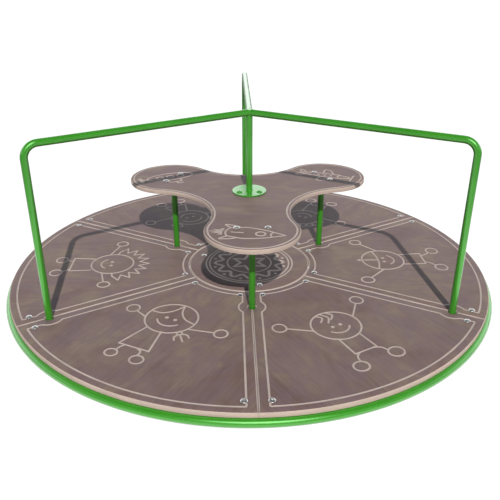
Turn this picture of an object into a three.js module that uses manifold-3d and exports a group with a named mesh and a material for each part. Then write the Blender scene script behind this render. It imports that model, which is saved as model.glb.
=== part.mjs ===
// Playground merry-go-round: a plywood platform with a trefoil seat and three handrails,
// turning on two ball bearings round a fixed spindle that is anchored to the ground.
// Units are millimetres, +Z is up, and the origin is the middle of the ground flange's underside.
// One seam of the deck points to -Y, the front. Angles are in degrees, anticlockwise from +X.
import * as THREE from "three";
import { mergeVertices } from "three/addons/utils/BufferGeometryUtils.js";
import Module from "manifold-3d";

const wasm = await Module();
wasm.setup();

// ---------- shared dimensions ----------
const GAP = 0.3; // between neighbouring pieces
const OVERLAP = 1; // of a tube into the plate it is welded to
const PLY = 18; // plywood thickness
const DECK_TOP = 140; // above the ground
const DECK_R = 1000;
const CENTRE_R = 261; // centre panel
const TUBE_R = 26.9 / 2, TUBE_WALL = 2.6; // rails and posts
const BORE_R = TUBE_R - TUBE_WALL;
const RAIL_LEG_R = 879; // distance of a rail's leg from the axis
const RAIL_H = 664; // rail centre-line above the deck
const SEAT_TOP = 332; // above the deck
const SEAT_POST_R = 383; // distance of a seat post from the axis
const ARM_W = 30; // square box tube

// ---------- bolt places ----------
// _R is the distance along the seam or lobe from the axis, _T the distance to either side of it.
const OUTER_BOLT_R = 943, OUTER_BOLT_T = 43;
const INNER_BOLT_R = 291, INNER_BOLT_T = 45;
const SEAT_BOLT_R = 382, SEAT_BOLT_T = 57.5;
const CENTRE_BOLT_R = 213, CENTRE_BOLT_ANGLES = [40, 160, 280];
const POST_BOLT_R = 48, POST_BOLT_ANGLES = [90, 210, 330];

// ---------- levels ----------
const DECK_LOW = DECK_TOP - PLY;
const FRAME_TOP = DECK_LOW - GAP; // top of arms and rim
const ARM_LOW = FRAME_TOP - ARM_W;
const SEAT_HIGH = DECK_TOP + SEAT_TOP, SEAT_LOW = SEAT_HIGH - PLY;
const RAIL_Z = DECK_TOP + RAIL_H;

// ---------- places round the axis: name, angle ----------
const SEAMS = [
  ["front", 270], ["front_right", 330], ["back_right", 30],
  ["back", 90], ["back_left", 150], ["front_left", 210],
];
const PANELS = [
  ["front_right", 300], ["right", 0], ["back_right", 60],
  ["back_left", 120], ["left", 180], ["front_left", 240],
];
const LOBES = [["front", 270], ["back_right", 30], ["back_left", 150]];
const RAILS = [["right", 330], ["back", 90], ["left", 210]];

// ---------- points and outlines ----------
const rad = THREE.MathUtils.degToRad;
const point = (x, y) => new THREE.Vector2(x, y);
const polar = (radius, angle) => point(radius * Math.cos(rad(angle)), radius * Math.sin(rad(angle)));
const turnedPoint = ({ x, y }, angle) => point(x, y).rotateAround(point(0, 0), rad(angle));
const ring = (radius, sides, centre = point(0, 0)) =>
  Array.from({ length: sides }, (_, i) => {
    const angle = (2 * Math.PI * i) / sides;
    return point(centre.x + radius * Math.cos(angle), centre.y + radius * Math.sin(angle));
  });
const rectangle = (width, depth, centreX = 0) =>
  [[-1, -1], [1, -1], [1, 1], [-1, 1]].map(([x, y]) => point(centreX + (x * width) / 2, (y * depth) / 2));

// ---------- shapes ----------
// A closed three.js geometry as a solid.
function solid(geometry) {
  const bare = geometry.clone();
  for (const name of Object.keys(bare.attributes)) {
    if (name !== "position") bare.deleteAttribute(name);
  }
  const merged = mergeVertices(bare, 1e-4);
  const corners = merged.index.array, triangles = [];
  for (let i = 0; i < corners.length; i += 3) {
    const [first, second, third] = corners.subarray(i, i + 3);
    if (first !== second && second !== third && third !== first) triangles.push(first, second, third);
  }
  return new wasm.Manifold(new wasm.Mesh({
    numProp: 3,
    vertProperties: new Float32Array(merged.attributes.position.array),
    triVerts: new Uint32Array(triangles),
  }));
}

function geometryOf(manifold) {
  const mesh = manifold.getMesh(), stride = mesh.numProp;
  const positions = new Float32Array(mesh.numVert * 3);
  for (let i = 0; i < mesh.numVert; i++) {
    positions.set(mesh.vertProperties.subarray(i * stride, i * stride + 3), i * 3);
  }
  return new THREE.BufferGeometry()
    .setAttribute("position", new THREE.BufferAttribute(positions, 3))
    .setIndex(new THREE.BufferAttribute(new Uint32Array(mesh.triVerts), 1));
}

function shapeOf(outline, holes) {
  const shape = new THREE.Shape(outline);
  for (const hole of holes) shape.holes.push(new THREE.Path(hole));
  return shape;
}

// An outline in XY with holes, from low up to high.
function prism(outline, holes, low, high) {
  const options = { depth: high - low, bevelEnabled: false, steps: 1 };
  return new THREE.ExtrudeGeometry(shapeOf(outline, holes), options).translate(0, 0, low);
}

// A profile of [radius, height] pairs turned about Z. A profile clear of the axis closes on itself.
function turned(profile, sides) {
  let points = profile.map(([radius, z]) => point(radius, z));
  if (THREE.ShapeUtils.area(points) < 0) points.reverse();
  const onAxis = (p) => p.x < 1e-9;
  if (points.some(onAxis)) {
    // start and end on the axis
    const start = points.findIndex((p, i) => onAxis(p) && !onAxis(points[(i + 1) % points.length]));
    points = points.slice(start).concat(points.slice(0, start));
  } else {
    points.push(points[0].clone());
  }
  return new THREE.LatheGeometry(points, sides).rotateX(Math.PI / 2);
}

// A washer-like ring of rectangular section.
const collar = (inner, outer, low, high, sides) =>
  turned([[inner, low], [outer, low], [outer, high], [inner, high]], sides);

// An upright cylinder centred at x, y, midZ.
const rod = (radius, height, sides, { x, y }, midZ) =>
  new THREE.CylinderGeometry(radius, radius, height, sides).rotateX(Math.PI / 2).translate(x, y, midZ);

// A path in an upright plane whose normal is side; sections swept along it don't twist.
class Route extends THREE.Curve {
  constructor(points, tangents, side) {
    super();
    Object.assign(this, { points, tangents, side });
  }
  getSpacedPoints() {
    return this.points;
  }
  computeFrenetFrames() {
    return {
      tangents: this.tangents,
      normals: this.tangents.map(() => this.side),
      binormals: this.tangents.map((tangent) => tangent.clone().cross(this.side)),
    };
  }
}

// ---------- materials ----------
const standard = (settings) => new THREE.MeshStandardMaterial(settings);
const GREEN = standard({ color: 0x3f8f2c, roughness: 0.35, metalness: 0.1 });
const PLYWOOD = standard({ color: 0x776a63, roughness: 0.55, metalness: 0 });
const ZINC = standard({ color: 0xc4c6c8, roughness: 0.3, metalness: 0.9 });
const GALVANISED = standard({ color: 0x9aa0a3, roughness: 0.5, metalness: 0.8 });
const BEARING = standard({ color: 0xb8babd, roughness: 0.2, metalness: 1 });
const RUBBER = standard({ color: 0x1c1c1d, roughness: 0.8, metalness: 0 });

// ---------- groups: base stands still, platform turns ----------
const object = new THREE.Group();
object.name = "merry_go_round";
const base = new THREE.Group(), platform = new THREE.Group();
object.add(base, platform);

// shape is a closed geometry or a solid; turn is its angle about Z.
function add(parent, name, shape, material, turn = 0) {
  const manifold = shape instanceof THREE.BufferGeometry ? solid(shape) : shape;
  const mesh = new THREE.Mesh(geometryOf(manifold), material);
  mesh.name = name;
  mesh.rotation.z = rad(turn);
  parent.add(mesh);
}

// ---------- bolts ----------
const HEAD_R = 12.3, HEAD_H = 5.4; // mushroom head of an M10 bolt
const HEAD_TOP_R = HEAD_R * 0.6;
const SHANK_R = 5, BOLT_HOLE_R = 5.6;
const NUT_R = 9.2, NUT_H = 8; // radius across the corners
const SHANK_TAIL = 11; // shank below the nut's seat

const boltHole = (centre) => ring(BOLT_HOLE_R, 8, centre);

// Head above headSeat, hexagon nut under nutSeat; bite presses the nut up into its seat.
function bolt(x, y, headSeat, nutSeat, bite = 0) {
  const foot = nutSeat - SHANK_TAIL, headLow = headSeat + GAP, headHigh = headLow + HEAD_H;
  const head = turned([
    [0, foot], [SHANK_R, foot], [SHANK_R, headLow], [HEAD_R, headLow],
    [HEAD_TOP_R, headHigh], [0, headHigh],
  ], 8).translate(x, y, 0);
  const nut = rod(NUT_R, NUT_H, 6, { x, y }, nutSeat + bite - NUT_H / 2);
  return solid(head).add(solid(nut));
}

// ---------- ground flange ----------
const FLANGE_R = 160, FLANGE_T = 12;
const ANCHOR_R = 135, ANCHOR_HOLE_R = 8;

const anchorHoles = [45, 135, 225, 315].map((angle) => ring(ANCHOR_HOLE_R, 8, polar(ANCHOR_R, angle)));
add(base, "base_flange", prism(ring(FLANGE_R, 24), anchorHoles, 0, FLANGE_T), GREEN);

// ---------- spindle ----------
const SPINDLE_R = 25, SHOULDER_R = 35;
const SPINDLE_TOP = 115.5, SPINDLE_CHAMFER = 2;
const LOWER_Z = 30, UPPER_Z = 84; // undersides of the two bearings

add(base, "spindle", turned([
  [0, FLANGE_T + GAP], [SHOULDER_R, FLANGE_T + GAP],
  [SHOULDER_R, LOWER_Z - GAP], [SPINDLE_R, LOWER_Z - GAP],
  [SPINDLE_R, SPINDLE_TOP - SPINDLE_CHAMFER], [SPINDLE_R - SPINDLE_CHAMFER, SPINDLE_TOP],
  [0, SPINDLE_TOP],
], 20), BEARING);

// ---------- bearings ----------
const BEARING_R = 45, BEARING_W = 20;
const PITCH_R = (SPINDLE_R + BEARING_R) / 2;
const BALL_R = 6.35, BALLS = 8;
const SLEEVE_R = SPINDLE_R + GAP; // bore of everything that sits on the spindle
const RACE = BALL_R + 0.55; // the raceway stands clear of the ball all round
const GROOVE_HALF = 4.6; // half width of the groove at its lips
const GROOVE_FLOOR_HALF = 1.8;
const INNER_LIP_R = PITCH_R - Math.sqrt(RACE ** 2 - GROOVE_HALF ** 2) + 0.4;
const OUTER_LIP_R = PITCH_R + Math.sqrt(RACE ** 2 - GROOVE_HALF ** 2);
const INNER_FLOOR_R = PITCH_R - RACE;
const OUTER_FLOOR_R = PITCH_R + RACE + 0.25;
const CAGE_HALF_T = 1.1, CAGE_HALF_H = 2.2;

// A ring from its plain face to the ball groove on its other face.
function bearingRing(faceR, lipR, floorR, low, sides) {
  const high = low + BEARING_W, mid = low + BEARING_W / 2;
  return turned([
    [faceR, low], [lipR, low], [lipR, mid - GROOVE_HALF],
    [floorR, mid - GROOVE_FLOOR_HALF], [floorR, mid + GROOVE_FLOOR_HALF],
    [lipR, mid + GROOVE_HALF], [lipR, high], [faceR, high],
  ], sides);
}

// The balls and the hoop that joins them.
function ballCage(mid) {
  let cage = solid(collar(
    PITCH_R - CAGE_HALF_T, PITCH_R + CAGE_HALF_T, mid - CAGE_HALF_H, mid + CAGE_HALF_H, 16));
  for (const { x, y } of ring(PITCH_R, BALLS)) {
    const ball = new THREE.SphereGeometry(BALL_R, 6, 5).rotateX(Math.PI / 2).translate(x, y, mid);
    cage = cage.add(solid(ball));
  }
  return cage;
}

for (const [name, low] of [["lower", LOWER_Z], ["upper", UPPER_Z]]) {
  const innerRing = bearingRing(SLEEVE_R, INNER_LIP_R, INNER_FLOOR_R, low, 20);
  const outerRing = bearingRing(BEARING_R, OUTER_LIP_R, OUTER_FLOOR_R, low, 24);
  add(base, name + "_bearing_inner_ring", innerRing, BEARING);
  add(platform, name + "_bearing_outer_ring", outerRing, BEARING);
  const cageGroup = new THREE.Group();
  object.add(cageGroup);
  add(cageGroup, name + "_ball_cage", ballCage(low + BEARING_W / 2), BEARING);
}

// ---------- spacer, washer and nut on the spindle ----------
const LOWER_TOP = LOWER_Z + BEARING_W; // top of the lower bearing
const SPACER_R = 29.5;
const WASHER_R = 33, WASHER_T = 2;
const WASHER_Z = UPPER_Z + BEARING_W + GAP;
const LOCK_NUT_Z = WASHER_Z + WASHER_T + GAP;

const spacer = collar(SLEEVE_R, SPACER_R, LOWER_TOP + GAP, UPPER_Z - GAP, 20);
add(base, "bearing_spacer", spacer, GALVANISED);
add(base, "lock_washer", collar(SLEEVE_R, WASHER_R, WASHER_Z, WASHER_Z + WASHER_T, 20), ZINC);

// radius, height above the nut's underside
const LOCK_NUT_PROFILE = [
  [SLEEVE_R, 0], [32, 0], [34, 1.7], [34, 6.7], [32.5, 8.2], [SLEEVE_R, 8.2],
];
add(base, "lock_nut",
  turned(LOCK_NUT_PROFILE.map(([radius, z]) => [radius, LOCK_NUT_Z + z]), 20), ZINC);

// ---------- hub ----------
const HUB_R = 57.15, HUB_LOW = 22, HUB_HIGH = 118;
const HUB_BORE_R = BEARING_R + GAP;
const HUB_SHOULDER_R = 41.6; // narrower bore between the bearings
const WEB_R = 250, WEB_T = 5.7; // web plate under the arms
const WEB_HIGH = ARM_LOW - GAP, WEB_LOW = WEB_HIGH - WEB_T;
const WEB_DRILL_LENGTH = 30;

function hubHousing() {
  let hub = solid(turned([
    [HUB_BORE_R, HUB_LOW], [HUB_R, HUB_LOW],
    [HUB_R, WEB_LOW], [WEB_R, WEB_LOW], [WEB_R, WEB_HIGH], [HUB_R, WEB_HIGH],
    [HUB_R, HUB_HIGH], [HUB_BORE_R, HUB_HIGH],
    [HUB_BORE_R, UPPER_Z - GAP], [HUB_SHOULDER_R, UPPER_Z - GAP],
    [HUB_SHOULDER_R, LOWER_TOP + GAP], [HUB_BORE_R, LOWER_TOP + GAP],
  ], 24));
  for (const angle of CENTRE_BOLT_ANGLES) {
    const drill = rod(BOLT_HOLE_R, WEB_DRILL_LENGTH, 10, polar(CENTRE_BOLT_R, angle), WEB_LOW);
    hub = hub.subtract(solid(drill));
  }
  return hub;
}
add(platform, "hub_housing", hubHousing(), GREEN);

const COVER_R = HUB_R - 1, COVER_T = 2;
const COVER_LOW = HUB_HIGH + GAP, COVER_HIGH = COVER_LOW + COVER_T;
const LIP_INNER_R = 43, LIP_LOW = HUB_HIGH - 6; // the cover's lip reaches down into the bore
add(platform, "hub_cover", turned([
  [0, COVER_LOW], [LIP_INNER_R, COVER_LOW], [LIP_INNER_R, LIP_LOW],
  [BEARING_R, LIP_LOW], [BEARING_R, COVER_LOW],
  [COVER_R, COVER_LOW], [COVER_R, COVER_HIGH], [0, COVER_HIGH],
], 24), GALVANISED);

const SEAL_R = 36.2; // inner radius, clear of the spindle's shoulder
const SEAL_LOW = HUB_LOW + 1, SEAL_HIGH = LOWER_Z - GAP;
const SEAL_STEP_Z = LOWER_Z - 4; // a slope rises from here, between the two radii
const SEAL_SLOPE_LOW_R = 38, SEAL_SLOPE_HIGH_R = 41;
add(platform, "hub_seal", turned([
  [SEAL_R, SEAL_LOW], [BEARING_R, SEAL_LOW], [BEARING_R, SEAL_HIGH],
  [SEAL_SLOPE_HIGH_R, SEAL_HIGH], [SEAL_SLOPE_LOW_R, SEAL_STEP_Z], [SEAL_R, SEAL_STEP_Z],
], 24), RUBBER);

// ---------- arms ----------
const RIM_TUBE_R = 33.7 / 2, RIM_WALL = 2.6;
const RIM_R = DECK_R; // rim centre-line
const ARM_WALL = 3;
const ARM_FROM = HUB_R + 1, ARM_TO = RIM_R - RIM_TUBE_R - 1.2;
const ARM_BORE = ARM_W - 2 * ARM_WALL;

for (const [name, angle] of SEAMS) {
  const arm = prism(rectangle(ARM_W, ARM_W), [rectangle(ARM_BORE, ARM_BORE)], ARM_FROM, ARM_TO)
    .rotateY(Math.PI / 2).translate(0, 0, ARM_LOW + ARM_W / 2);
  add(platform, "arm_" + name, arm, GREEN, angle);
}

// ---------- rim ----------
const RIM_Z = FRAME_TOP - RIM_TUBE_R;
const DRAIN_R = 4, DRAIN_DRILL_LENGTH = 16;

function rimTube() {
  const hoop = (radius, sides) =>
    solid(turned(ring(radius, sides, point(RIM_R, RIM_Z)).map(({ x, y }) => [x, y]), 60));
  let rim = hoop(RIM_TUBE_R, 10).subtract(hoop(RIM_TUBE_R - RIM_WALL, 6));
  // three small drain holes open the tube underneath
  for (const angle of [0, 120, 240]) {
    const drill = rod(DRAIN_R, DRAIN_DRILL_LENGTH, 8, polar(RIM_R, angle), RIM_Z - RIM_TUBE_R);
    rim = rim.subtract(solid(drill));
  }
  return rim;
}
add(platform, "rim_tube", rimTube(), GREEN);

// ---------- deck panels ----------
const SEAM = 2; // open joint between neighbouring panels
const HOLE_R = 17; // hole in the deck for a post or a rail leg
const PANEL_HALF = 30; // half a panel's angle

// A sixth of the deck, centred on +X. Half-round notches clear the posts and rail legs on the
// seams, at distance clockwiseR on one seam and anticlockwiseR on the other.
function deckPanel(clockwiseR, anticlockwiseR) {
  const edge = SEAM / 2, cos = Math.cos(rad(PANEL_HALF)), sin = Math.sin(rad(PANEL_HALF));
  // A point along a seam and a distance into the panel; side is 1 for the anticlockwise seam, or -1.
  const fromSeam = (side, along, into) =>
    point(cos * along + sin * into, side * (sin * along - cos * into));
  // An arc from the clockwise seam to the other, with corners at multiples of step.
  const arc = (radius, step, count) => {
    const end = PANEL_HALF - THREE.MathUtils.radToDeg(Math.asin(edge / radius));
    const angles = [-end];
    for (let i = -count; i <= count; i++) angles.push(step * i);
    angles.push(end);
    return angles.map((angle) => polar(radius, angle));
  };
  // Runs from the far side of the hole to the near side.
  const notch = (side, distance) => {
    const start = Math.asin(edge / HOLE_R), steps = 6, points = [];
    for (let i = 0; i <= steps; i++) {
      const angle = start + ((Math.PI - 2 * start) * i) / steps;
      points.push(fromSeam(side, distance + HOLE_R * Math.cos(angle), HOLE_R * Math.sin(angle)));
    }
    return points;
  };
  const outline = [
    ...arc(DECK_R, 6, 4),
    ...notch(1, anticlockwiseR),
    ...arc(CENTRE_R + SEAM, 10, 2).reverse(),
    ...notch(-1, clockwiseR).reverse(),
  ];
  const holes = [1, -1].flatMap((side) => [
    boltHole(fromSeam(side, OUTER_BOLT_R, OUTER_BOLT_T)),
    boltHole(fromSeam(side, INNER_BOLT_R, INNER_BOLT_T)),
  ]);
  return prism(outline, holes, DECK_LOW, DECK_TOP);
}

// Seat posts stand on the seams under the lobes, rail legs on the others.
const notchDistance = (angle) =>
  LOBES.some(([, lobeAngle]) => lobeAngle === (angle + 360) % 360) ? SEAT_POST_R : RAIL_LEG_R;
for (const [name, angle] of PANELS) {
  const panel = deckPanel(notchDistance(angle - PANEL_HALF), notchDistance(angle + PANEL_HALF));
  add(platform, "deck_panel_" + name, panel, PLYWOOD, angle);
}

const centreHoles = CENTRE_BOLT_ANGLES.map((angle) => boltHole(polar(CENTRE_BOLT_R, angle)));
add(platform, "centre_panel", prism(ring(CENTRE_R, 36), centreHoles, DECK_LOW, DECK_TOP), PLYWOOD);

// ---------- panel clamps ----------
const STRAP_T = 4, STRAP_W = 30;
const STRAP_CLEARANCE = 0.4; // round the arm
const STRAP_EAR = 15; // ear beyond the bolt's centre
const NUT_BITE = 0.1; // joins nut and strap into one solid

// Hat-shaped strap round an arm along +X, with its two bolts tightened in it.
function clamp(boltR, boltT) {
  const inner = ARM_W / 2 + STRAP_CLEARANCE, outer = inner + STRAP_T, ear = boltT + STRAP_EAR;
  const low = ARM_LOW - STRAP_CLEARANCE, earLow = FRAME_TOP - STRAP_T;
  // y, z of the half on +Y, from the inside of the hat round to the end of the ear
  const half = [
    [inner, FRAME_TOP], [inner, low], [outer, low - STRAP_T],
    [outer, earLow], [ear, earLow], [ear, FRAME_TOP],
  ].map(([y, z]) => point(y, z));
  const mirrored = half.map(({ x, y }) => point(-x, y));
  const hat = [
    ...half.slice(0, 2), ...mirrored.slice(0, 2).reverse(),
    ...mirrored.slice(2).reverse(), ...half.slice(2),
  ];
  // the hat's outline is drawn across the arm and given its width along the arm
  const acrossArm = new THREE.Matrix4().makeBasis(
    new THREE.Vector3(0, 1, 0), new THREE.Vector3(0, 0, 1), new THREE.Vector3(1, 0, 0));
  const strap = prism(hat, [], boltR - STRAP_W / 2, boltR + STRAP_W / 2).applyMatrix4(acrossArm);
  return solid(strap)
    .add(bolt(boltR, boltT, DECK_TOP, earLow, NUT_BITE))
    .add(bolt(boltR, -boltT, DECK_TOP, earLow, NUT_BITE));
}

for (const [name, angle] of SEAMS) {
  add(platform, "outer_panel_clamp_" + name, clamp(OUTER_BOLT_R, OUTER_BOLT_T), ZINC, angle);
  add(platform, "inner_panel_clamp_" + name, clamp(INNER_BOLT_R, INNER_BOLT_T), ZINC, angle);
}
CENTRE_BOLT_ANGLES.forEach((angle, i) => {
  const centreBolt = bolt(CENTRE_BOLT_R, 0, DECK_TOP, WEB_LOW - GAP);
  add(platform, "centre_panel_bolt_" + (i + 1), centreBolt, ZINC, angle);
});

// ---------- seat ----------
const LOBE_R = 395, LOBE_TIP = 176.5; // lobe centre distance, lobe radius
const WAIST_R = 218; // the seat's narrowest distance from the axis
const WAIST_ANGLE = 60; // from a lobe to the next waist

// Three round lobes joined by three hollow arcs.
function seatOutline() {
  // The hollow arc touches both lobes: its centre lies WAIST_R + hollowR from the axis,
  // on the waist's direction, and LOBE_TIP + hollowR from the lobe's centre.
  const along = LOBE_R * Math.cos(rad(WAIST_ANGLE));
  const hollowR = (LOBE_R ** 2 + WAIST_R ** 2 - 2 * WAIST_R * along - LOBE_TIP ** 2)
    / (2 * (LOBE_TIP - WAIST_R + along));
  // One lobe along +X and the hollow anticlockwise of it, repeated three times.
  const hollow = polar(WAIST_R + hollowR, WAIST_ANGLE);
  const spread = Math.atan2(hollow.y, hollow.x - LOBE_R); // half the lobe's arc
  const halfHollow = rad(WAIST_ANGLE) - spread;
  const lobeSteps = 12, hollowSteps = 8, third = [];
  for (let i = 0; i <= lobeSteps; i++) {
    const angle = -spread + (2 * spread * i) / lobeSteps;
    third.push(point(LOBE_R + LOBE_TIP * Math.cos(angle), LOBE_TIP * Math.sin(angle)));
  }
  for (let i = 1; i < hollowSteps; i++) {
    const angle = spread + Math.PI + (2 * halfHollow * i) / hollowSteps;
    third.push(point(hollow.x + hollowR * Math.cos(angle), hollow.y + hollowR * Math.sin(angle)));
  }
  return LOBES.flatMap(([, lobeAngle]) => third.map((p) => turnedPoint(p, lobeAngle)));
}

const postBoltHoles = POST_BOLT_ANGLES.map((angle) => boltHole(polar(POST_BOLT_R, angle)));
const seatHoles = LOBES.flatMap(([, angle]) => [SEAT_BOLT_T, -SEAT_BOLT_T].map((y) =>
  boltHole(turnedPoint(point(SEAT_BOLT_R, y), angle))));
add(platform, "seat_board",
  prism(seatOutline(), [...seatHoles, ...postBoltHoles], SEAT_LOW, SEAT_HIGH), PLYWOOD);

// ---------- seat posts ----------
const PLATE_T = 5, PLATE_LENGTH = 50, PLATE_WIDTH = 150; // length is along the lobe
const PLATE_HIGH = SEAT_LOW - GAP, PLATE_LOW = PLATE_HIGH - PLATE_T;

// A tube with a plate on top, under the lobe along +X.
function seatPost() {
  const centre = point(SEAT_POST_R, 0);
  const bore = ring(BORE_R, 8, centre);
  const tube = prism(ring(TUBE_R, 12, centre), [bore], DECK_LOW, PLATE_LOW + OVERLAP);
  const holes = [SEAT_BOLT_T, -SEAT_BOLT_T].map((y) => boltHole(point(SEAT_BOLT_R, y)));
  const outline = rectangle(PLATE_LENGTH, PLATE_WIDTH, SEAT_BOLT_R);
  return solid(tube).add(solid(prism(outline, holes, PLATE_LOW, PLATE_HIGH)));
}

for (const [name, angle] of LOBES) {
  add(platform, "seat_post_" + name, seatPost(), GREEN, angle);
  // left and right as seen from outside, looking at the axis
  for (const [side, y] of [["left", -SEAT_BOLT_T], ["right", SEAT_BOLT_T]]) {
    const seatBolt = bolt(SEAT_BOLT_R, y, SEAT_HIGH, PLATE_LOW - GAP);
    add(platform, "seat_bolt_" + name + "_" + side, seatBolt, ZINC, angle);
  }
}

// ---------- handrails ----------
const RAIL_BEND = 50; // bend radius
const RAIL_START = TUBE_R + 0.6; // just clear of the centre post

// Runs out from the centre post, bends down and ends at the deck's underside.
function handrail(angle) {
  const { x, y } = polar(1, angle);
  const at = (radius, z) => new THREE.Vector3(x * radius, y * radius, z);
  const points = [at(RAIL_START, RAIL_Z)], tangents = [at(1, 0)], steps = 6;
  for (let i = 0; i <= steps; i++) {
    const bend = ((Math.PI / 2) * i) / steps, cos = Math.cos(bend), sin = Math.sin(bend);
    points.push(at(RAIL_LEG_R - RAIL_BEND + RAIL_BEND * sin, RAIL_Z - RAIL_BEND + RAIL_BEND * cos));
    tangents.push(at(cos, -sin));
  }
  points.push(at(RAIL_LEG_R, DECK_LOW));
  tangents.push(at(0, -1));
  return new THREE.ExtrudeGeometry(shapeOf(ring(TUBE_R, 10), [ring(BORE_R, 6)]), {
    steps: points.length - 1,
    extrudePath: new Route(points, tangents, new THREE.Vector3(-y, x, 0)),
    bevelEnabled: false,
  });
}
for (const [name, angle] of RAILS) add(platform, "handrail_" + name, handrail(angle), GREEN);

// ---------- centre post ----------
const POST_FLANGE_R = 71, POST_FLANGE_T = 6;
const POST_FLANGE_LOW = SEAT_HIGH + GAP, POST_FLANGE_HIGH = POST_FLANGE_LOW + POST_FLANGE_T;
const POST_TOP = RAIL_Z + TUBE_R;
const POST_CAP_T = 6; // closed end above the bore
const POST_BEVEL_R = 4, POST_BEVEL_H = 2;

function centrePost() {
  const flange = prism(ring(POST_FLANGE_R, 24), postBoltHoles, POST_FLANGE_LOW, POST_FLANGE_HIGH);
  const foot = POST_FLANGE_HIGH - OVERLAP;
  const tube = turned([
    [0, foot], [TUBE_R, foot], [TUBE_R, POST_TOP - POST_BEVEL_H],
    [TUBE_R - POST_BEVEL_R, POST_TOP], [0, POST_TOP],
  ], 12);
  // the bore is open through the flange, so its cutter starts below it
  const boreLow = POST_FLANGE_LOW - 5, boreHigh = POST_TOP - POST_CAP_T;
  const bore = rod(BORE_R, boreHigh - boreLow, 8, point(0, 0), (boreHigh + boreLow) / 2);
  return solid(flange).add(solid(tube)).subtract(solid(bore));
}
add(platform, "centre_post", centrePost(), GREEN);
POST_BOLT_ANGLES.forEach((angle, i) => {
  const flangeBolt = bolt(POST_BOLT_R, 0, POST_FLANGE_HIGH, SEAT_LOW - GAP);
  add(platform, "post_flange_bolt_" + (i + 1), flangeBolt, GREEN, angle);
});

export default object;
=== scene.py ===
import math
import random

import bmesh
import bpy
import numpy as np
from mathutils import Matrix, Vector


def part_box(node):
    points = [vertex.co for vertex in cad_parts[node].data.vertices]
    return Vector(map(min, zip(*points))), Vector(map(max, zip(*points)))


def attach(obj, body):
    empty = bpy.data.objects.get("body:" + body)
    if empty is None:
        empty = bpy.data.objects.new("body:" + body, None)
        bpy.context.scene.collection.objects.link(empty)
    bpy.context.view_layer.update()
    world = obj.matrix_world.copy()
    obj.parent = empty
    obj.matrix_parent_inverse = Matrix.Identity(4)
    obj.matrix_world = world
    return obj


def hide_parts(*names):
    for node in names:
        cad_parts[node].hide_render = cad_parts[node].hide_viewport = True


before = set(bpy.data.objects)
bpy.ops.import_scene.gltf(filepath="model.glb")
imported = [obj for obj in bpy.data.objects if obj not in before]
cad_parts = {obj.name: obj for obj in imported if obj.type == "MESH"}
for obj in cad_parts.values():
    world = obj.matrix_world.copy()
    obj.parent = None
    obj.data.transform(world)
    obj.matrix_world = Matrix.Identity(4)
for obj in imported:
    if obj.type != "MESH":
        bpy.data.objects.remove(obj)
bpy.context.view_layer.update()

MM = 0.001
PI = math.pi
rad = math.radians

# ------------------------------------------------------------------ dimensions, in millimetres, some read from the imported parts, the rest given
def lo_hi(node):
    a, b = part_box(node)
    return [v / MM for v in a], [v / MM for v in b]


DECK_LOW, DECK_TOP = lo_hi("centre_panel")[0][2], lo_hi("centre_panel")[1][2]
SEAT_LOW, SEAT_TOP = lo_hi("seat_board")[0][2], lo_hi("seat_board")[1][2]
ARM_LOW, ARM_TOP = lo_hi("arm_front")[0][2], lo_hi("arm_front")[1][2]
RIM_LOW, RIM_HIGH = lo_hi("rim_tube")[0][2], lo_hi("rim_tube")[1][2]
RIM_Z = (RIM_LOW + RIM_HIGH) / 2
RIM_OUT = lo_hi("rim_tube")[1][0]
RIM_TUBE = (RIM_HIGH - RIM_LOW) / 2
RIM_R = RIM_OUT - RIM_TUBE
DECK_R = 1000.0
CENTRE_R = 261.0
SEAM = 0.8
HOLE_R = 17.0
TUBE = 13.45
RAIL_LEG_R = 879.0
RAIL_Z = lo_hi("handrail_back")[1][2] - TUBE
RAIL_BEND = 50.0
LOBE_R, LOBE_TIP, WAIST_R = 395.0, 176.5, 218.0
SEAT_POST_R = 383.0
SEAT_BOLT_R, SEAT_BOLT_T = 382.0, 57.5
FLANGE_LOW, FLANGE_HIGH = lo_hi("centre_post")[0][2], lo_hi("centre_post")[0][2] + 6.0
POST_FLANGE_R, POST_BOLT_R = 71.0, 48.0
OUTER_BOLT_R, OUTER_BOLT_T = 943.0, 43.0
INNER_BOLT_R, INNER_BOLT_T = 291.0, 45.0
CENTRE_BOLT_R = 213.0
CENTRE_BOLTS = (40, 160, 280)
HUB_LOW, HUB_HIGH = lo_hi("hub_housing")[0][2], lo_hi("hub_housing")[1][2]
SEAMS = [("front", 270), ("front_right", 330), ("back_right", 30), ("back", 90), ("back_left", 150), ("front_left", 210)]
LOBES = [("front", 270), ("back_right", 30), ("back_left", 150)]
RAILS = [("right", 330), ("back", 90), ("left", 210)]
PANELS = [("front_right", 300), ("right", 0), ("back_right", 60), ("back_left", 120), ("left", 180), ("front_left", 240)]

# ------------------------------------------------------------------ node materials
def new_mat(name):
    m = bpy.data.materials.new(name)
    m.use_nodes = True
    nt = m.node_tree
    bsdf = next(n for n in nt.nodes if n.type == "BSDF_PRINCIPLED")
    return m, nt, bsdf


def node(nt, kind, **inputs):
    n = nt.nodes.new(kind)
    for k, v in inputs.items():
        if k in n.inputs.keys():
            n.inputs[k].default_value = v
        else:
            setattr(n, k, v)
    return n


def link(nt, a, b):
    nt.links.new(a, b)


def math_node(nt, op, a, b=None, c=None, clamp=False):
    n = nt.nodes.new("ShaderNodeMath")
    n.operation = op
    n.use_clamp = clamp
    for i, v in enumerate((a, b, c)):
        if v is None:
            continue
        if isinstance(v, (int, float)):
            n.inputs[i].default_value = v
        else:
            nt.links.new(v, n.inputs[i])
    return n.outputs[0]


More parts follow.
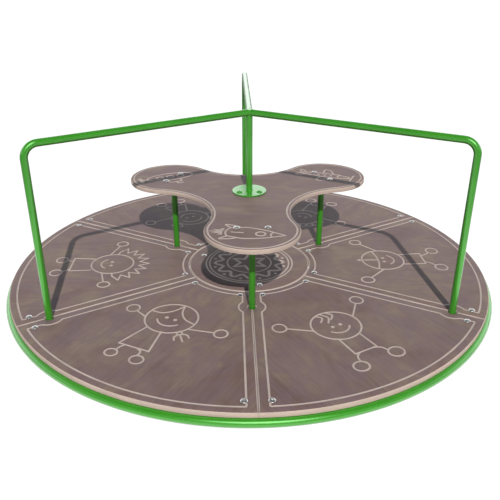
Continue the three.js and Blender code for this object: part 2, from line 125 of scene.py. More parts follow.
def mix_col(nt, fac, a, b, blend="MIX"):
    n = nt.nodes.new("ShaderNodeMix")
    n.data_type = "RGBA"
    n.blend_type = blend
    for sock, v in ((n.inputs[0], fac), (n.inputs[6], a), (n.inputs[7], b)):
        if isinstance(v, (int, float)):
            sock.default_value = v
        elif isinstance(v, (tuple, list)):
            sock.default_value = (*v, 1) if len(v) == 3 else v
        else:
            nt.links.new(v, sock)
    return n.outputs[2]


def ramp(nt, fac, stops):
    n = nt.nodes.new("ShaderNodeValToRGB")
    e = n.color_ramp.elements
    while len(e) < len(stops):
        e.new(0.5)
    for el, (p, c) in zip(e, stops):
        el.position = p
        el.color = (*c, 1) if len(c) == 3 else c
    nt.links.new(fac, n.inputs[0])
    return n.outputs[0]


def noise(nt, vec, scale, detail=4.0, rough=0.5, distortion=0.0):
    n = nt.nodes.new("ShaderNodeTexNoise")
    n.inputs["Scale"].default_value = scale
    n.inputs["Detail"].default_value = detail
    n.inputs["Roughness"].default_value = rough
    n.inputs["Distortion"].default_value = distortion
    nt.links.new(vec, n.inputs["Vector"])
    return n.outputs[0]


def scaled(nt, vec, sx, sy, sz):
    n = nt.nodes.new("ShaderNodeMapping")
    n.inputs["Scale"].default_value = (sx, sy, sz)
    nt.links.new(vec, n.inputs["Vector"])
    return n.outputs[0]


def position(nt):
    return nt.nodes.new("ShaderNodeTexCoord").outputs["Object"]


def grain(nt):
    n = nt.nodes.new("ShaderNodeAttribute")
    n.attribute_name = "grain"
    return n.outputs["Vector"]


def bump(nt, bsdf, height, strength, distance):
    n = nt.nodes.new("ShaderNodeBump")
    n.inputs["Strength"].default_value = strength
    n.inputs["Distance"].default_value = distance
    nt.links.new(height, n.inputs["Height"])
    nt.links.new(n.outputs[0], bsdf.inputs["Normal"])


# Brown phenolic film. The grain attribute runs along X in each board's own direction, in metres.
def film_material():
    m, nt, b = new_mat("brown_film")
    g = grain(nt)
    streak = noise(nt, scaled(nt, g, 7, 150, 40), 1.0, 5, 0.62)
    fine = noise(nt, scaled(nt, g, 30, 620, 200), 1.0, 3, 0.55)
    cloud = noise(nt, scaled(nt, g, 4.0, 6.0, 5), 1.0, 4, 0.6, 0.9)
    cloud2 = noise(nt, scaled(nt, g, 10, 13, 5), 1.0, 4, 0.6, 0.8)
    warm = ramp(nt, cloud, [(0.36, (0.171, 0.115, 0.105)), (0.5, (0.206, 0.147, 0.128)), (0.63, (0.232, 0.180, 0.139))])
    cool = mix_col(nt, math_node(nt, "MULTIPLY", ramp(nt, cloud2, [(0.44, (0, 0, 0)), (0.58, (1, 1, 1))]), 0.62), warm, (0.186, 0.129, 0.142))
    s = ramp(nt, streak, [(0.28, (0.79, 0.79, 0.80)), (0.46, (0.98, 0.98, 0.98)), (0.72, (1.09, 1.08, 1.08))])
    c = mix_col(nt, 1.0, cool, s, "MULTIPLY")
    f = ramp(nt, fine, [(0.3, (0.93, 0.93, 0.93)), (0.7, (1.05, 1.05, 1.05))])
    c = mix_col(nt, 1.0, c, f, "MULTIPLY")
    link(nt, c, b.inputs["Base Color"])
    link(nt, math_node(nt, "MULTIPLY_ADD", streak, 0.16, 0.44), b.inputs["Roughness"])
    b.inputs["Specular IOR Level"].default_value = 0.25
    h = math_node(nt, "ADD", math_node(nt, "MULTIPLY", streak, 0.7), math_node(nt, "MULTIPLY", fine, 0.3))
    bump(nt, b, h, 0.35, 0.0004)
    return m


# Bare birch on the boards' edges and in the engraved lines: thirteen veneers through 18 mm, turned by a quarter each time.
def birch_material(z_low):
    m, nt, b = new_mat("birch_edge_%d" % round(z_low))
    p = position(nt)
    sep = nt.nodes.new("ShaderNodeSeparateXYZ")
    link(nt, p, sep.inputs[0])
    wob = noise(nt, scaled(nt, p, 14, 14, 90), 1.0, 2, 0.5)
    z = math_node(nt, "ADD", sep.outputs[2], math_node(nt, "MULTIPLY", math_node(nt, "SUBTRACT", wob, 0.5), 0.00045))
    layer = math_node(nt, "DIVIDE", math_node(nt, "SUBTRACT", z, z_low * MM), 0.018 / 13)
    odd = math_node(nt, "GREATER_THAN", math_node(nt, "FRACT", math_node(nt, "MULTIPLY", layer, 0.5)), 0.5)
    edge = math_node(nt, "ABSOLUTE", math_node(nt, "SUBTRACT", math_node(nt, "FRACT", layer), 0.5))
    glue = math_node(nt, "GREATER_THAN", edge, 0.445)
    fibre = noise(nt, scaled(nt, p, 260, 260, 900), 1.0, 4, 0.6)
    tone = noise(nt, scaled(nt, p, 8, 8, 30), 1.0, 3, 0.5)
    light = ramp(nt, fibre, [(0.25, (0.50, 0.412, 0.360)), (0.75, (0.65, 0.542, 0.482))])
    dark = ramp(nt, fibre, [(0.25, (0.41, 0.320, 0.272)), (0.75, (0.55, 0.440, 0.385))])
    c = mix_col(nt, odd, light, dark)
    c = mix_col(nt, math_node(nt, "MULTIPLY", glue, 0.45), c, (0.26, 0.175, 0.125))
    c = mix_col(nt, 1.0, c, ramp(nt, tone, [(0.3, (0.88, 0.87, 0.86)), (0.7, (1.05, 1.04, 1.03))]), "MULTIPLY")
    link(nt, c, b.inputs["Base Color"])
    b.inputs["Roughness"].default_value = 0.66
    b.inputs["Specular IOR Level"].default_value = 0.25
    bump(nt, b, fibre, 0.3, 0.0003)
    return m


# Engraved lines show the first veneer, set a little darker, with a faint bluish glow added: painted light that keeps
# them bright and greyish where shade falls.
def groove_material():
    m, nt, b = new_mat("engraved_birch_painted_glow")
    g = grain(nt)
    fibre = noise(nt, scaled(nt, g, 60, 700, 200), 1.0, 4, 0.6)
    tone = noise(nt, scaled(nt, g, 12, 14, 5), 1.0, 3, 0.5)
    c = ramp(nt, fibre, [(0.25, (0.325, 0.272, 0.242)), (0.75, (0.420, 0.352, 0.318))])
    c = mix_col(nt, 1.0, c, ramp(nt, tone, [(0.3, (0.86, 0.86, 0.86)), (0.7, (1.06, 1.05, 1.04))]), "MULTIPLY")
    link(nt, c, b.inputs["Base Color"])
    b.inputs["Roughness"].default_value = 0.7
    b.inputs["Specular IOR Level"].default_value = 0.2
    # painted glow: the lines emit a faint bluish light of their own, standing in for light they don't get in shade
    link(nt, mix_col(nt, 1.0, c, (0.93, 1.02, 1.10), "MULTIPLY"), b.inputs["Emission Color"])
    b.inputs["Emission Strength"].default_value = 0.34
    bump(nt, b, fibre, 0.3, 0.0003)
    return m


# Green powder coat with a metallic effect: clear gloss over a faint orange-peel, with slightly uneven tone.
def green_material():
    m, nt, b = new_mat("green_powder_coat")
    p = position(nt)
    peel = noise(nt, scaled(nt, p, 1, 1, 1), 420.0, 2, 0.5)
    tone = noise(nt, p, 9.0, 3, 0.5)
    c = ramp(nt, tone, [(0.3, (0.040, 0.322, 0.013)), (0.7, (0.052, 0.368, 0.019))])
    link(nt, c, b.inputs["Base Color"])
    smudge = noise(nt, p, 38.0, 4, 0.6)
    link(nt, math_node(nt, "MULTIPLY_ADD", smudge, 0.08, 0.22), b.inputs["Roughness"])
    b.inputs["IOR"].default_value = 1.5
    b.inputs["Specular IOR Level"].default_value = 0.6
    b.inputs["Metallic"].default_value = 0.32
    b.inputs["Coat Weight"].default_value = 1.0
    b.inputs["Coat Roughness"].default_value = 0.2
    bump(nt, b, peel, 0.2, 0.00006)
    return m


def zinc_material(name="zinc_plate", base=(0.74, 0.73, 0.72), rough=0.31, scratch=0.12):
    m, nt, b = new_mat(name)
    p = position(nt)
    n1 = noise(nt, p, 420.0, 3, 0.6)
    n2 = noise(nt, p, 55.0, 4, 0.6)
    c = mix_col(nt, n2, tuple(v * 0.86 for v in base), tuple(min(1, v * 1.1) for v in base))
    link(nt, c, b.inputs["Base Color"])
    b.inputs["Metallic"].default_value = 1.0
    link(nt, math_node(nt, "MULTIPLY_ADD", n1, scratch, rough - scratch / 2), b.inputs["Roughness"])
    bump(nt, b, n1, 0.12, 0.0001)
    return m


def galvanised_material():
    m, nt, b = new_mat("galvanised_steel")
    p = position(nt)
    v = nt.nodes.new("ShaderNodeTexVoronoi")
    v.inputs["Scale"].default_value = 90.0
    link(nt, p, v.inputs["Vector"])
    cell = nt.nodes.new("ShaderNodeSeparateColor")
    link(nt, v.outputs["Color"], cell.inputs[0])
    c = ramp(nt, cell.outputs[0], [(0.0, (0.36, 0.38, 0.40)), (1.0, (0.55, 0.57, 0.59))])
    link(nt, c, b.inputs["Base Color"])
    b.inputs["Metallic"].default_value = 0.85
    link(nt, math_node(nt, "MULTIPLY_ADD", cell.outputs[1], 0.2, 0.38), b.inputs["Roughness"])
    bump(nt, b, cell.outputs[2], 0.06, 0.0001)
    return m


def steel_material():
    m, nt, b = new_mat("ground_steel")
    p = position(nt)
    n = noise(nt, scaled(nt, p, 60, 60, 2600), 1.0, 3, 0.6)
    c = ramp(nt, n, [(0.3, (0.50, 0.50, 0.51)), (0.7, (0.66, 0.66, 0.67))])
    link(nt, c, b.inputs["Base Color"])
    b.inputs["Metallic"].default_value = 1.0
    link(nt, math_node(nt, "MULTIPLY_ADD", n, 0.15, 0.16), b.inputs["Roughness"])
    bump(nt, b, n, 0.1, 0.0001)
    return m


def rubber_material():
    m, nt, b = new_mat("seal_rubber")
    n = noise(nt, position(nt), 900.0, 3, 0.6)
    c = ramp(nt, n, [(0.3, (0.012, 0.012, 0.013)), (0.7, (0.03, 0.03, 0.031))])
    link(nt, c, b.inputs["Base Color"])
    b.inputs["Roughness"].default_value = 0.62
    bump(nt, b, n, 0.3, 0.0002)
    return m


def brass_material():
    m, nt, b = new_mat("cage_brass")
    n = noise(nt, position(nt), 160.0, 4, 0.6)
    c = ramp(nt, n, [(0.3, (0.52, 0.36, 0.13)), (0.7, (0.66, 0.47, 0.20))])
    link(nt, c, b.inputs["Base Color"])
    b.inputs["Metallic"].default_value = 1.0
    link(nt, math_node(nt, "MULTIPLY_ADD", n, 0.2, 0.24), b.inputs["Roughness"])
    bump(nt, b, n, 0.1, 0.0001)
    return m


FILM = film_material()
BIRCH = birch_material(DECK_LOW)
BIRCH_SEAT = birch_material(SEAT_LOW)
GROOVE = groove_material()
GREEN = green_material()
ZINC = zinc_material()
STRAP = zinc_material("zinc_strap", (0.60, 0.62, 0.64), 0.34, 0.2)
GALV = galvanised_material()
STEEL = steel_material()
RUBBER = rubber_material()
BRASS = brass_material()

# ------------------------------------------------------------------ mesh helpers (all in millimetres, made in metres)
def raw_mesh(name, verts, faces):
    me = bpy.data.meshes.new(name)
    me.from_pydata([(x * MM, y * MM, z * MM) for x, y, z in verts], [], faces)
    me.update()
    return me


def shade(me, angle=32):
    me.polygons.foreach_set("use_smooth", [True] * len(me.polygons))
    me.set_sharp_from_angle(angle=rad(angle))
    me.update()


def turn(p, a):
    c, s = math.cos(a), math.sin(a)
    return (p[0] * c - p[1] * s, p[0] * s + p[1] * c) + tuple(p[2:])


def turned(verts, degrees):
    a = rad(degrees)
    return [turn(v, a) for v in verts]


# Pieces with a wide flat face next to a fillet, whose normals would otherwise bend the flat's shading.
FLAT_FACED = ("ground_flange", "hub_barrel", "centre_column")


def piece(name, me, mats, body, replaces=(), angle=32):
    me.name = name
    if mats:
        me.materials.clear()
        for m in mats:
            me.materials.append(m)
        me.polygons.foreach_set("material_index", [0] * len(me.polygons))
    shade(me, angle)
    o = bpy.data.objects.new(name, me)
    bpy.context.scene.collection.objects.link(o)
    if name in FLAT_FACED:
        even = o.modifiers.new("flat_faces", "WEIGHTED_NORMAL")
        even.keep_sharp = True
        even.weight = 100
    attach(o, body)
    if replaces:
        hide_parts(*replaces)
    return o


def arc(cx, cy, r, a0, a1, n):
    return [(cx + r * math.cos(a0 + (a1 - a0) * i / n), cy + r * math.sin(a0 + (a1 - a0) * i / n)) for i in range(n + 1)]


def circle(cx, cy, r, n):
    return arc(cx, cy, r, 0, 2 * PI, n)[:-1]


def area2(poly):
    return sum(p[0] * q[1] - q[0] * p[1] for p, q in zip(poly, poly[1:] + poly[:1])) / 2


# A closed profile of (radius, height) turned about Z. Each corner may carry a fillet radius.
def fillet(poly, radii, steps=4):
    out, n = [], len(poly)
    for i, p in enumerate(poly):
        r = radii[i] if not isinstance(radii, (int, float)) else radii
        a, b = poly[i - 1], poly[(i + 1) % n]
        u = Vector((a[0] - p[0], a[1] - p[1]))
        v = Vector((b[0] - p[0], b[1] - p[1]))
        if r <= 0 or u.length < 1e-9 or v.length < 1e-9:
            out.append(p)
            continue
        r_max = 0.49 * min(u.length, v.length)
        u.normalize(), v.normalize()
        half = u.angle(v) / 2
        if half > rad(88) or half < rad(2):
            out.append(p)
            continue
        cut = min(r / math.tan(half), r_max)
        r = cut * math.tan(half)
        bis = (u + v).normalized()
        c = Vector(p) + bis * (r / math.sin(half))
        s = Vector(p) + u * cut - c
        e = Vector(p) + v * cut - c
        a0, a1 = math.atan2(s.y, s.x), math.atan2(e.y, e.x)
        d = (a1 - a0 + PI) % (2 * PI) - PI
        out += [(c.x + r * math.cos(a0 + d * k / steps), c.y + r * math.sin(a0 + d * k / steps)) for k in range(steps + 1)]
    return out


def lathe(profile, seg=96, start=-PI / 2):
    if area2(profile) < 0:
        profile = profile[::-1]
    verts, rings = [], []
    for r, z in profile:
        if r < 1e-6:
            rings.append([len(verts)])
            verts.append((0, 0, z))
        else:
            rings.append(list(range(len(verts), len(verts) + seg)))
            verts += [(r * math.cos(start + 2 * PI * k / seg), r * math.sin(start + 2 * PI * k / seg), z) for k in range(seg)]
    faces, n = [], len(rings)
    for i in range(n):
        a, b = rings[i], rings[(i + 1) % n]
        if len(a) == 1 and len(b) == 1:
            continue
        for k in range(seg):
            j = (k + 1) % seg
            if len(a) == 1:
                faces.append((a[0], b[j], b[k]))
            elif len(b) == 1:
                faces.append((a[k], a[j], b[0]))
            else:
                faces.append((a[k], a[j], b[j], b[k]))
    return verts, faces


# A flat board: an outline with rounded-over edges, from z0 up to z1. top may be one radius or one per point, bottom is
# one radius.
def slab(outline, z0, z1, top=3.0, bottom=1.0, steps=4):
    if area2(outline) < 0:
        outline = outline[::-1]
    n = len(outline)
    tops = top if not isinstance(top, (int, float)) else [top] * n
    off = []
    for i in range(n):
        p, a, b = Vector(outline[i]), Vector(outline[i - 1]), Vector(outline[(i + 1) % n])
        e0, e1 = (p - a).normalized(), (b - p).normalized()
        n0, n1 = Vector((-e0.y, e0.x)), Vector((-e1.y, e1.x))
        m = n0 + n1
        m = m.normalized() if m.length > 1e-6 else n0
        off.append(m / max(0.5, m.dot(n0)))
    verts, rings = [], []

    def ring(inset, z):
        rings.append(list(range(len(verts), len(verts) + n)))
        for i in range(n):
            d = inset[i]
            verts.append((outline[i][0] + off[i].x * d, outline[i][1] + off[i].y * d, z[i]))

    bsteps = 2 if bottom > 0 else 0
    if bottom > 0:
        for k in range(bsteps + 1):
            t = PI / 2 * k / bsteps
            ring([bottom * (1 - math.sin(t))] * n, [z0 + bottom * (1 - math.cos(t))] * n)
    else:
        ring([0] * n, [z0] * n)
    for a, b in (((0, 1), (0.13, 0.70), (0.70, 0.13), (1, 0)) if steps == "chamfer" else [(1 - math.cos(PI / 2 * k / steps), 1 - math.sin(PI / 2 * k / steps)) for k in range(steps + 1)]):
        ring([c * a for c in tops], [z1 - c * b for c in tops])
    faces = [tuple(reversed(rings[0]))]
    for a, b in zip(rings, rings[1:]):
        faces += [(a[i], a[(i + 1) % n], b[(i + 1) % n], b[i]) for i in range(n)]
    faces.append(tuple(rings[-1]))
    return verts, faces


# A section (list of (side, up) points) swept along a path with its own side and up directions.
def sweep(path, sides, ups, section, closed=False, scales=None):
    if area2(section) < 0:
        section = section[::-1]
    n, m = len(path), len(section)
    verts = []
    for i in range(n):
        s = scales[i] if scales else 1.0
        for x, y in section:
            verts.append(tuple(Vector(path[i]) + Vector(sides[i]) * (x * s) + Vector(ups[i]) * (y * s)))
    faces = []
    for i in range(n if closed else n - 1):
        j = (i + 1) % n
        faces += [(i * m + k, i * m + (k + 1) % m, j * m + (k + 1) % m, j * m + k) for k in range(m)]
    if not closed:
        faces.append(tuple(range(m - 1, -1, -1)))
        faces.append(tuple((n - 1) * m + k for k in range(m)))
    return verts, faces


def fix_normals(me):
    bm = bmesh.new()
    bm.from_mesh(me)
    bmesh.ops.recalc_face_normals(bm, faces=bm.faces)
    bm.to_mesh(me)
    bm.free()
    return me


def join_parts(name, parts):
    verts, faces = [], []
    for v, f in parts:
        k = len(verts)
        verts += v
        faces += [tuple(i + k for i in q) for q in f]
    return fix_normals(raw_mesh(name, verts, faces))


SOLVERS = []
for s in ("MANIFOLD", "EXACT"):
    probe = bpy.data.objects.new("probe", bpy.data.meshes.new("probe"))
    mod = probe.modifiers.new("b", "BOOLEAN")
    try:
        mod.solver = s
        SOLVERS.append(s)
    except TypeError:
        pass
    bpy.data.objects.remove(probe)
SOLVER = SOLVERS[0]


# Cuts each operand mesh out of a mesh in turn, and returns the new mesh.
# Where two cutters' walls nearly coincide a cut leaves needles without area: they are merged away, and so are loose flakes.
def tidy(me, near=5e-7, least=8):
    bm = bmesh.new()
    bm.from_mesh(me)
    bmesh.ops.remove_doubles(bm, verts=bm.verts, dist=near)
    bmesh.ops.dissolve_degenerate(bm, edges=bm.edges, dist=near)
    bm.faces.index_update()
    seen, loose = set(), []
    for f in bm.faces:
        if f.index in seen:
            continue
        seen.add(f.index)
        isle, todo = [], [f]
        while todo:
            g = todo.pop()
            isle.append(g)
            for e in g.edges:
                for h in e.link_faces:
                    if h.index not in seen:
                        seen.add(h.index)
                        todo.append(h)
        if len(isle) < least:
            loose += isle
    if loose:
        bmesh.ops.delete(bm, geom=loose, context="FACES")
    bm.to_mesh(me)
    bm.free()
    return me


def cut(me, operands, operation="DIFFERENCE"):
    col = bpy.context.scene.collection
    o = bpy.data.objects.new("work", me)
    col.objects.link(o)
    tools = []
    for k, op in enumerate(operands):
        t = bpy.data.objects.new("tool%d" % k, op)
        col.objects.link(t)
        tools.append(t)
        mod = o.modifiers.new("b%d" % k, "BOOLEAN")
        mod.operation = operation
        mod.solver = SOLVER
        mod.object = t
    dg = bpy.context.evaluated_depsgraph_get()
    dg.update()
    out = bpy.data.meshes.new_from_object(o.evaluated_get(dg), depsgraph=dg)
    out.name = me.name
    bpy.data.objects.remove(o)
    for t in tools:
        d = t.data
        bpy.data.objects.remove(t)
        if d.users == 0:
            bpy.data.meshes.remove(d)
    return tidy(out)


# ------------------------------------------------------------------ engraving
LINE_W = 7.2
GROOVE_SECTION = [(-3.6, 1.2), (-3.6, 0.0), (-3.15, -0.7), (-2.2, -1.15), (-0.9, -1.3), (0.9, -1.3), (2.2, -1.15), (3.15, -0.7), (3.6, 0.0), (3.6, 1.2)]


def resample(pts, step, closed=False):
    p = [Vector(q) for q in pts]
    if closed:
        p.append(p[0])
    d = [0.0]
    for a, b in zip(p, p[1:]):
        d.append(d[-1] + (b - a).length)
    n = max(2, int(round(d[-1] / step)))
    out, k = [], 0
    for i in range(n if closed else n + 1):
        s = d[-1] * i / n
        while k < len(d) - 2 and d[k + 1] < s:
            k += 1
        t = (s - d[k]) / max(1e-9, d[k + 1] - d[k])
        out.append(tuple(p[k].lerp(p[k + 1], t)))
    return out


# A round-bottomed groove along a flat path, with ball-shaped ends, as a closed solid that stands out of the surface.
def stroke(pts, z, closed=False, step=3.0, width=LINE_W, keep=False):
    p = pts if keep else resample(pts, step, closed)
    n = len(p)
    tang = []
    for i in range(n):
        a = p[i - 1] if (i > 0 or closed) else p[i]
        b = p[(i + 1) % n] if (i < n - 1 or closed) else p[i]
        t = Vector((b[0] - a[0], b[1] - a[1], 0))
        tang.append(t.normalized() if t.length > 1e-9 else Vector((1, 0, 0)))
    path = [Vector((q[0], q[1], z)) for q in p]
    scales = [width / LINE_W] * n
    if not closed:
        k = width / LINE_W
        for ang in (30, 55, 72, 84):
            r = width / 2 * math.sin(rad(ang))
            s = k * math.cos(rad(ang))
            path.insert(0, Vector((p[0][0], p[0][1], z)) - tang[0] * r)
            path.append(Vector((p[-1][0], p[-1][1], z)) + tang[-1] * r)
            tang.insert(0, tang[0])
            tang.append(tang[-1])
            scales.insert(0, s)
            scales.append(s)
        # the tangents of the added sections are those of the ends, so their order doesn't matter
    up = Vector((0, 0, 1))
    verts, faces = [], []
    m = len(GROOVE_SECTION)
    for c, t, s in zip(path, tang, scales):
        side = Vector((-t.y, t.x, 0))
        for x, y in GROOVE_SECTION:
            verts.append(tuple(c + side * (x * s) + up * (y * min(s, 1.0) if y < 0 else y)))
    nn = len(path)
    for i in range(nn if closed else nn - 1):
        j = (i + 1) % nn
        faces += [(i * m + k, i * m + (k + 1) % m, j * m + (k + 1) % m, j * m + k) for k in range(m)]
    if not closed:
        faces.append(tuple(range(m - 1, -1, -1)))
        faces.append(tuple((nn - 1) * m + k for k in range(m)))
    return fix_normals(raw_mesh("stroke", verts, faces))


def dot(x, y, r, z, depth=1.6):
    v, f = lathe([(0, -depth), (r * 0.6, -depth), (r * 0.92, -depth * 0.5), (r, 0), (r, 1.2), (0, 1.2)], 20)
    return fix_normals(raw_mesh("dot", [(a + x, b + y, c + z) for a, b, c in v], f))


def pocket(outline, z, depth=1.2):
    v, f = slab(outline, z - depth, z + 1.2, 0.0, 0.4, 1)
    return fix_normals(raw_mesh("pocket", v, f))


def drill(x, y, r, z0, z1):
    v, f = lathe([(0, z0), (r, z0), (r, z1), (0, z1)], 24)
    return fix_normals(raw_mesh("drill", [(a + x, b + y, c) for a, b, c in v], f))


# Gives every face its board material, and each point its place along the grain.
def finish_board(me, z0, z1, grain_deg, birch, seam_r=0.0):
    me.materials.clear()
    for m in (FILM, birch, GROOVE):
        me.materials.append(m)
    for p in me.polygons:
        z, nz = p.center.z / MM, p.normal.z
        if nz > 0.98 and z > z1 - 0.05 or nz < -0.98 and z < z0 + 0.05:
            p.material_index = 0
        elif 0.25 < nz < 0.97 and z > z1 - 4.5 and math.hypot(p.center.x, p.center.y) < seam_r * MM:
            p.material_index = 2
        else:
            p.material_index = 1
    c, s = math.cos(rad(-grain_deg)), math.sin(rad(-grain_deg))
    co = np.empty(len(me.vertices) * 3, np.float32)
    me.vertices.foreach_get("co", co)
    co = co.reshape(-1, 3)
    g = np.stack([co[:, 0] * c - co[:, 1] * s + grain_deg * 0.37, co[:, 0] * s + co[:, 1] * c + grain_deg * 0.11, co[:, 2]], 1)
    att = me.attributes.new("grain", "FLOAT_VECTOR", "POINT")
    att.data.foreach_set("vector", g.astype(np.float32).ravel())
    return me


# Engraved faces are those cut below the top film and away from the outline.
def mark_grooves(me, z1, inside):
    for p in me.polygons:
        z = p.center.z / MM
        if p.material_index == 1 and z1 - 1.75 < z < z1 - 0.001 and inside(p.center.x / MM, p.center.y / MM):
            p.material_index = 2


# ------------------------------------------------------------------ drawings
# Every drawing is a list of ("line", points), ("loop", points), ("dot", x, y, r) or ("fill", points), in millimetres.
def ring_pts(cx, cy, rx, ry=None, n=48, tilt=0.0):
    ry = ry or rx
    out = []
    for i in range(n):
        t = 2 * PI * i / n
        x, y = rx * math.cos(t), ry * math.sin(t)
        out.append((cx + x * math.cos(tilt) - y * math.sin(tilt), cy + x * math.sin(tilt) + y * math.cos(tilt)))
    return out


def curve_through(pts, n=14):
    out, p = [], [pts[0]] + list(pts) + [pts[-1]]
    for i in range(1, len(p) - 2):
        p0, p1, p2, p3 = (Vector(q) for q in p[i - 1:i + 3])
        for k in range(n):
            t = k / n
            out.append(tuple(0.5 * ((2 * p1) + (p2 - p0) * t + (2 * p0 - 5 * p1 + 4 * p2 - p3) * t * t + (3 * p1 - p0 - 3 * p2 + p3) * t ** 3)))
    out.append(tuple(pts[-1]))
    return out


# A stick child lying on its back with its feet to the rim: x is outward along the sector's middle, y is sideways.
def child(hx, hy, r, hair, body, feet, hands, eye=7.6):
    d = [("loop", ring_pts(hx, hy, r, n=72))]
    e = r * 0.25
    d += [("dot", hx + r * 0.04, hy + e * 0.75, eye), ("dot", hx + r * 0.04, hy - e * 0.75, eye)]
    d.append(("line", arc(hx + r * 0.02, hy, r * 0.52, -rad(58), rad(58), 18)))
    b = body
    d += [("line", [b[0], b[1]]), ("line", [b[1], b[2]]), ("line", [b[2], b[3]])]
    for (ax, ay), (fx, fy), fr, bend in feet:
        u = Vector((fx - ax, fy - ay))
        side = Vector((-u.y, u.x)).normalized()
        end = Vector((fx, fy)) - u.normalized() * fr
        mid = (Vector((ax, ay)) + end) / 2 + side * bend
        d.append(("line", curve_through([(ax, ay), tuple(mid), tuple(end)], 8)))
        d.append(("loop", ring_pts(fx, fy, fr, fr * 1.08, n=36)))
    for (px, py), pr in hands:
        u = Vector((px - hx, py - hy))
        a = Vector((hx, hy)) + u.normalized() * r
        # arms start nearer to the body than the straight line to the head's centre
        a = Vector((hx, hy)) + (u.normalized() + Vector((0.35, 0))).normalized() * r
        end = Vector((px, py)) + (a - Vector((px, py))).normalized() * pr
        d.append(("line", [tuple(a), tuple(end)]))
        d.append(("loop", ring_pts(px, py, pr, pr * 0.94, n=36)))
    d += hair
    return d


def child_side_bunch():
    hx, hy, r = 548, -34, 100
    parting = [
        ("line", curve_through([(hx - 96, hy - 2), (hx - 52, hy + 14), (hx - 16, hy + 50), (hx - 4, hy + 96)], 12)),
        ("line", curve_through([(hx - 96, hy - 2), (hx - 48, hy - 22), (hx - 16, hy - 54), (hx - 12, hy - 97)], 12)),
    ]
    # a bunch tied on one side: a small knot and three loose strands
    knot = Vector((hx + 72, hy + 84))
    parting.append(("loop", ring_pts(knot.x, knot.y, 9.5, n=24)))
    for bend, reach in ((-0.62, 46), (0.0, 54), (0.62, 46)):
        way = Vector((math.cos(0.78 + bend), math.sin(0.78 + bend)))
        off = Vector((-way.y, way.x)) * (9 if bend >= 0 else -9)
        parting.append(("line", curve_through([tuple(knot + way * 9.5), tuple(knot + way * (reach * 0.6) + off * (1 if bend else 0)), tuple(knot + way * reach)], 8)))
    return child(hx, hy, r, parting,
                 [(hx + 94, -14), (764, 20), (770, -104), (hx + 93, -80)],
                 [((767, -26), (822, 12), 23, 12), ((769, -76), (828, -92), 21, -4)],
                 [((552, 182), 26), ((556, -206), 26)])


def child_tuft(hx, hy, flip=1, hands=None):
    r = 93
    hair = []
    for k, (lift, reach) in enumerate(((-30, 50), (-8, 66), (16, 52))):
        y = hy + lift * flip
        hair.append(("line", curve_through([(hx - math.sqrt(r * r - (y - hy) ** 2), y), (hx - r + reach * 0.55, y + 16 * flip), (hx - r + reach, y - 6 * flip)], 8)))
    return child(hx, hy, r, hair,
                 [(hx + 86, hy + 38), (hx + 180, hy + 36), (hx + 178, hy - 58), (hx + 82, hy - 50)],
                 [((hx + 180, hy + 20), (hx + 240, hy + 72), 27, 10), ((hx + 178, hy - 40), (hx + 242, hy - 86), 26, -8)],
                 hands or [((hx - 102, hy + 184), 27), ((hx - 92, hy - 188), 27)])


def child_cap():
    hx, hy, r = 594, 8, 92
    brim = curve_through([(hx - 34, hy + 86), (hx - 22, hy + 30), (hx - 22, hy - 30), (hx - 34, hy - 86)], 10)
    hair = [("line", brim), ("dot", hx - r - 13, hy, 8.5), ("line", [(hx - r + 4, hy), (hx - 26, hy)])]
    return child(hx, hy, r, hair,
                 [(hx + 84, 58), (774, 66), (776, -34), (hx + 86, -36)],
                 [((775, 46), (838, 94), 26, -6), ((775, -14), (834, -70), 26, 6)],
                 [((504, 194), 26), ((492, -176), 27)])


def child_spikes():
    hx, hy, r = 600, -3, 91
    pts, n = [], 9
    for i in range(n * 2 + 1):
        t = rad(98) + rad(164) * i / (n * 2)
        rr = 118 if i % 2 == 0 else 160
        pts.append((hx + rr * math.cos(t), hy + rr * math.sin(t)))
    hair = [("line", [a, b]) for a, b in zip(pts, pts[1:])]
    hair += [("line", [pts[0], (hx + r * math.cos(rad(97)), hy + r * math.sin(rad(97)))]),
             ("line", [pts[-1], (hx + r * math.cos(rad(-97)), hy + r * math.sin(rad(-97)))])]
    return child(hx, hy, r, hair,
                 [(hx + 86, 54), (776, 60), (776, -62), (hx + 86, -52)],
                 [((776, 36), (828, 76), 25, 8), ((776, -34), (828, -46), 25, 0)],
                 [((606, 186), 25), ((586, -208), 25)])


def child_bunches():
    hx, hy, r = 600, -14, 92
    hair = [("line", arc(hx, hy, r * 0.62, rad(118), rad(242), 16))]
    for s in (1, -1):
        hair.append(("loop", ring_pts(hx - 62, hy + s * 104, 27, 20, 32, s * 0.7)))
    return child(hx, hy, r, hair,
                 [(hx + 88, 12), (784, 44), (784, -74), (hx + 88, -40)],
                 [((784, 16), (838, 40), 24, 6), ((784, -46), (838, -70), 24, -6)],
                 [((640, 190), 25), ((566, -204), 25)])


def child_curls():
    hx, hy, r = 590, 6, 90
    pts = []
    for i in range(11):
        t = rad(92) + rad(176) * i / 10
        pts.append((t, 1))
    hair = []
    for a, b in zip(pts, pts[1:]):
        m = (a[0] + b[0]) / 2
        hair.append(("line", arc(hx + 104 * math.cos(m), hy + 104 * math.sin(m), 19, m - rad(115), m + rad(115), 12)))
    return child(hx, hy, r, hair,
                 [(hx + 84, 44), (772, 48), (772, -46), (hx + 84, -36)],
                 [((772, 24), (830, 62), 25, 8), ((772, -22), (832, -58), 25, -8)],
                 [((520, 190), 26), ((606, -196), 26)])


DRAWINGS = {
    "front_left": child_side_bunch(),
    "front_right": child_tuft(605, 1),
    "left": child_spikes(),
    "right": child_cap(),
    "back_left": child_bunches(),
    "back_right": child_curls(),
}


def place(drawing, degrees, move=(0, 0), size=1.0):
    a, out = rad(degrees), []
    f = lambda p: tuple(c for c in turn((p[0] * size + move[0], p[1] * size + move[1]), a))
    for d in drawing:
        if d[0] == "dot":
            x, y = f((d[1], d[2]))
            out.append(("dot", x, y, d[3] * size))
        else:
            out.append((d[0], [f(p) for p in d[1]]))
    return out


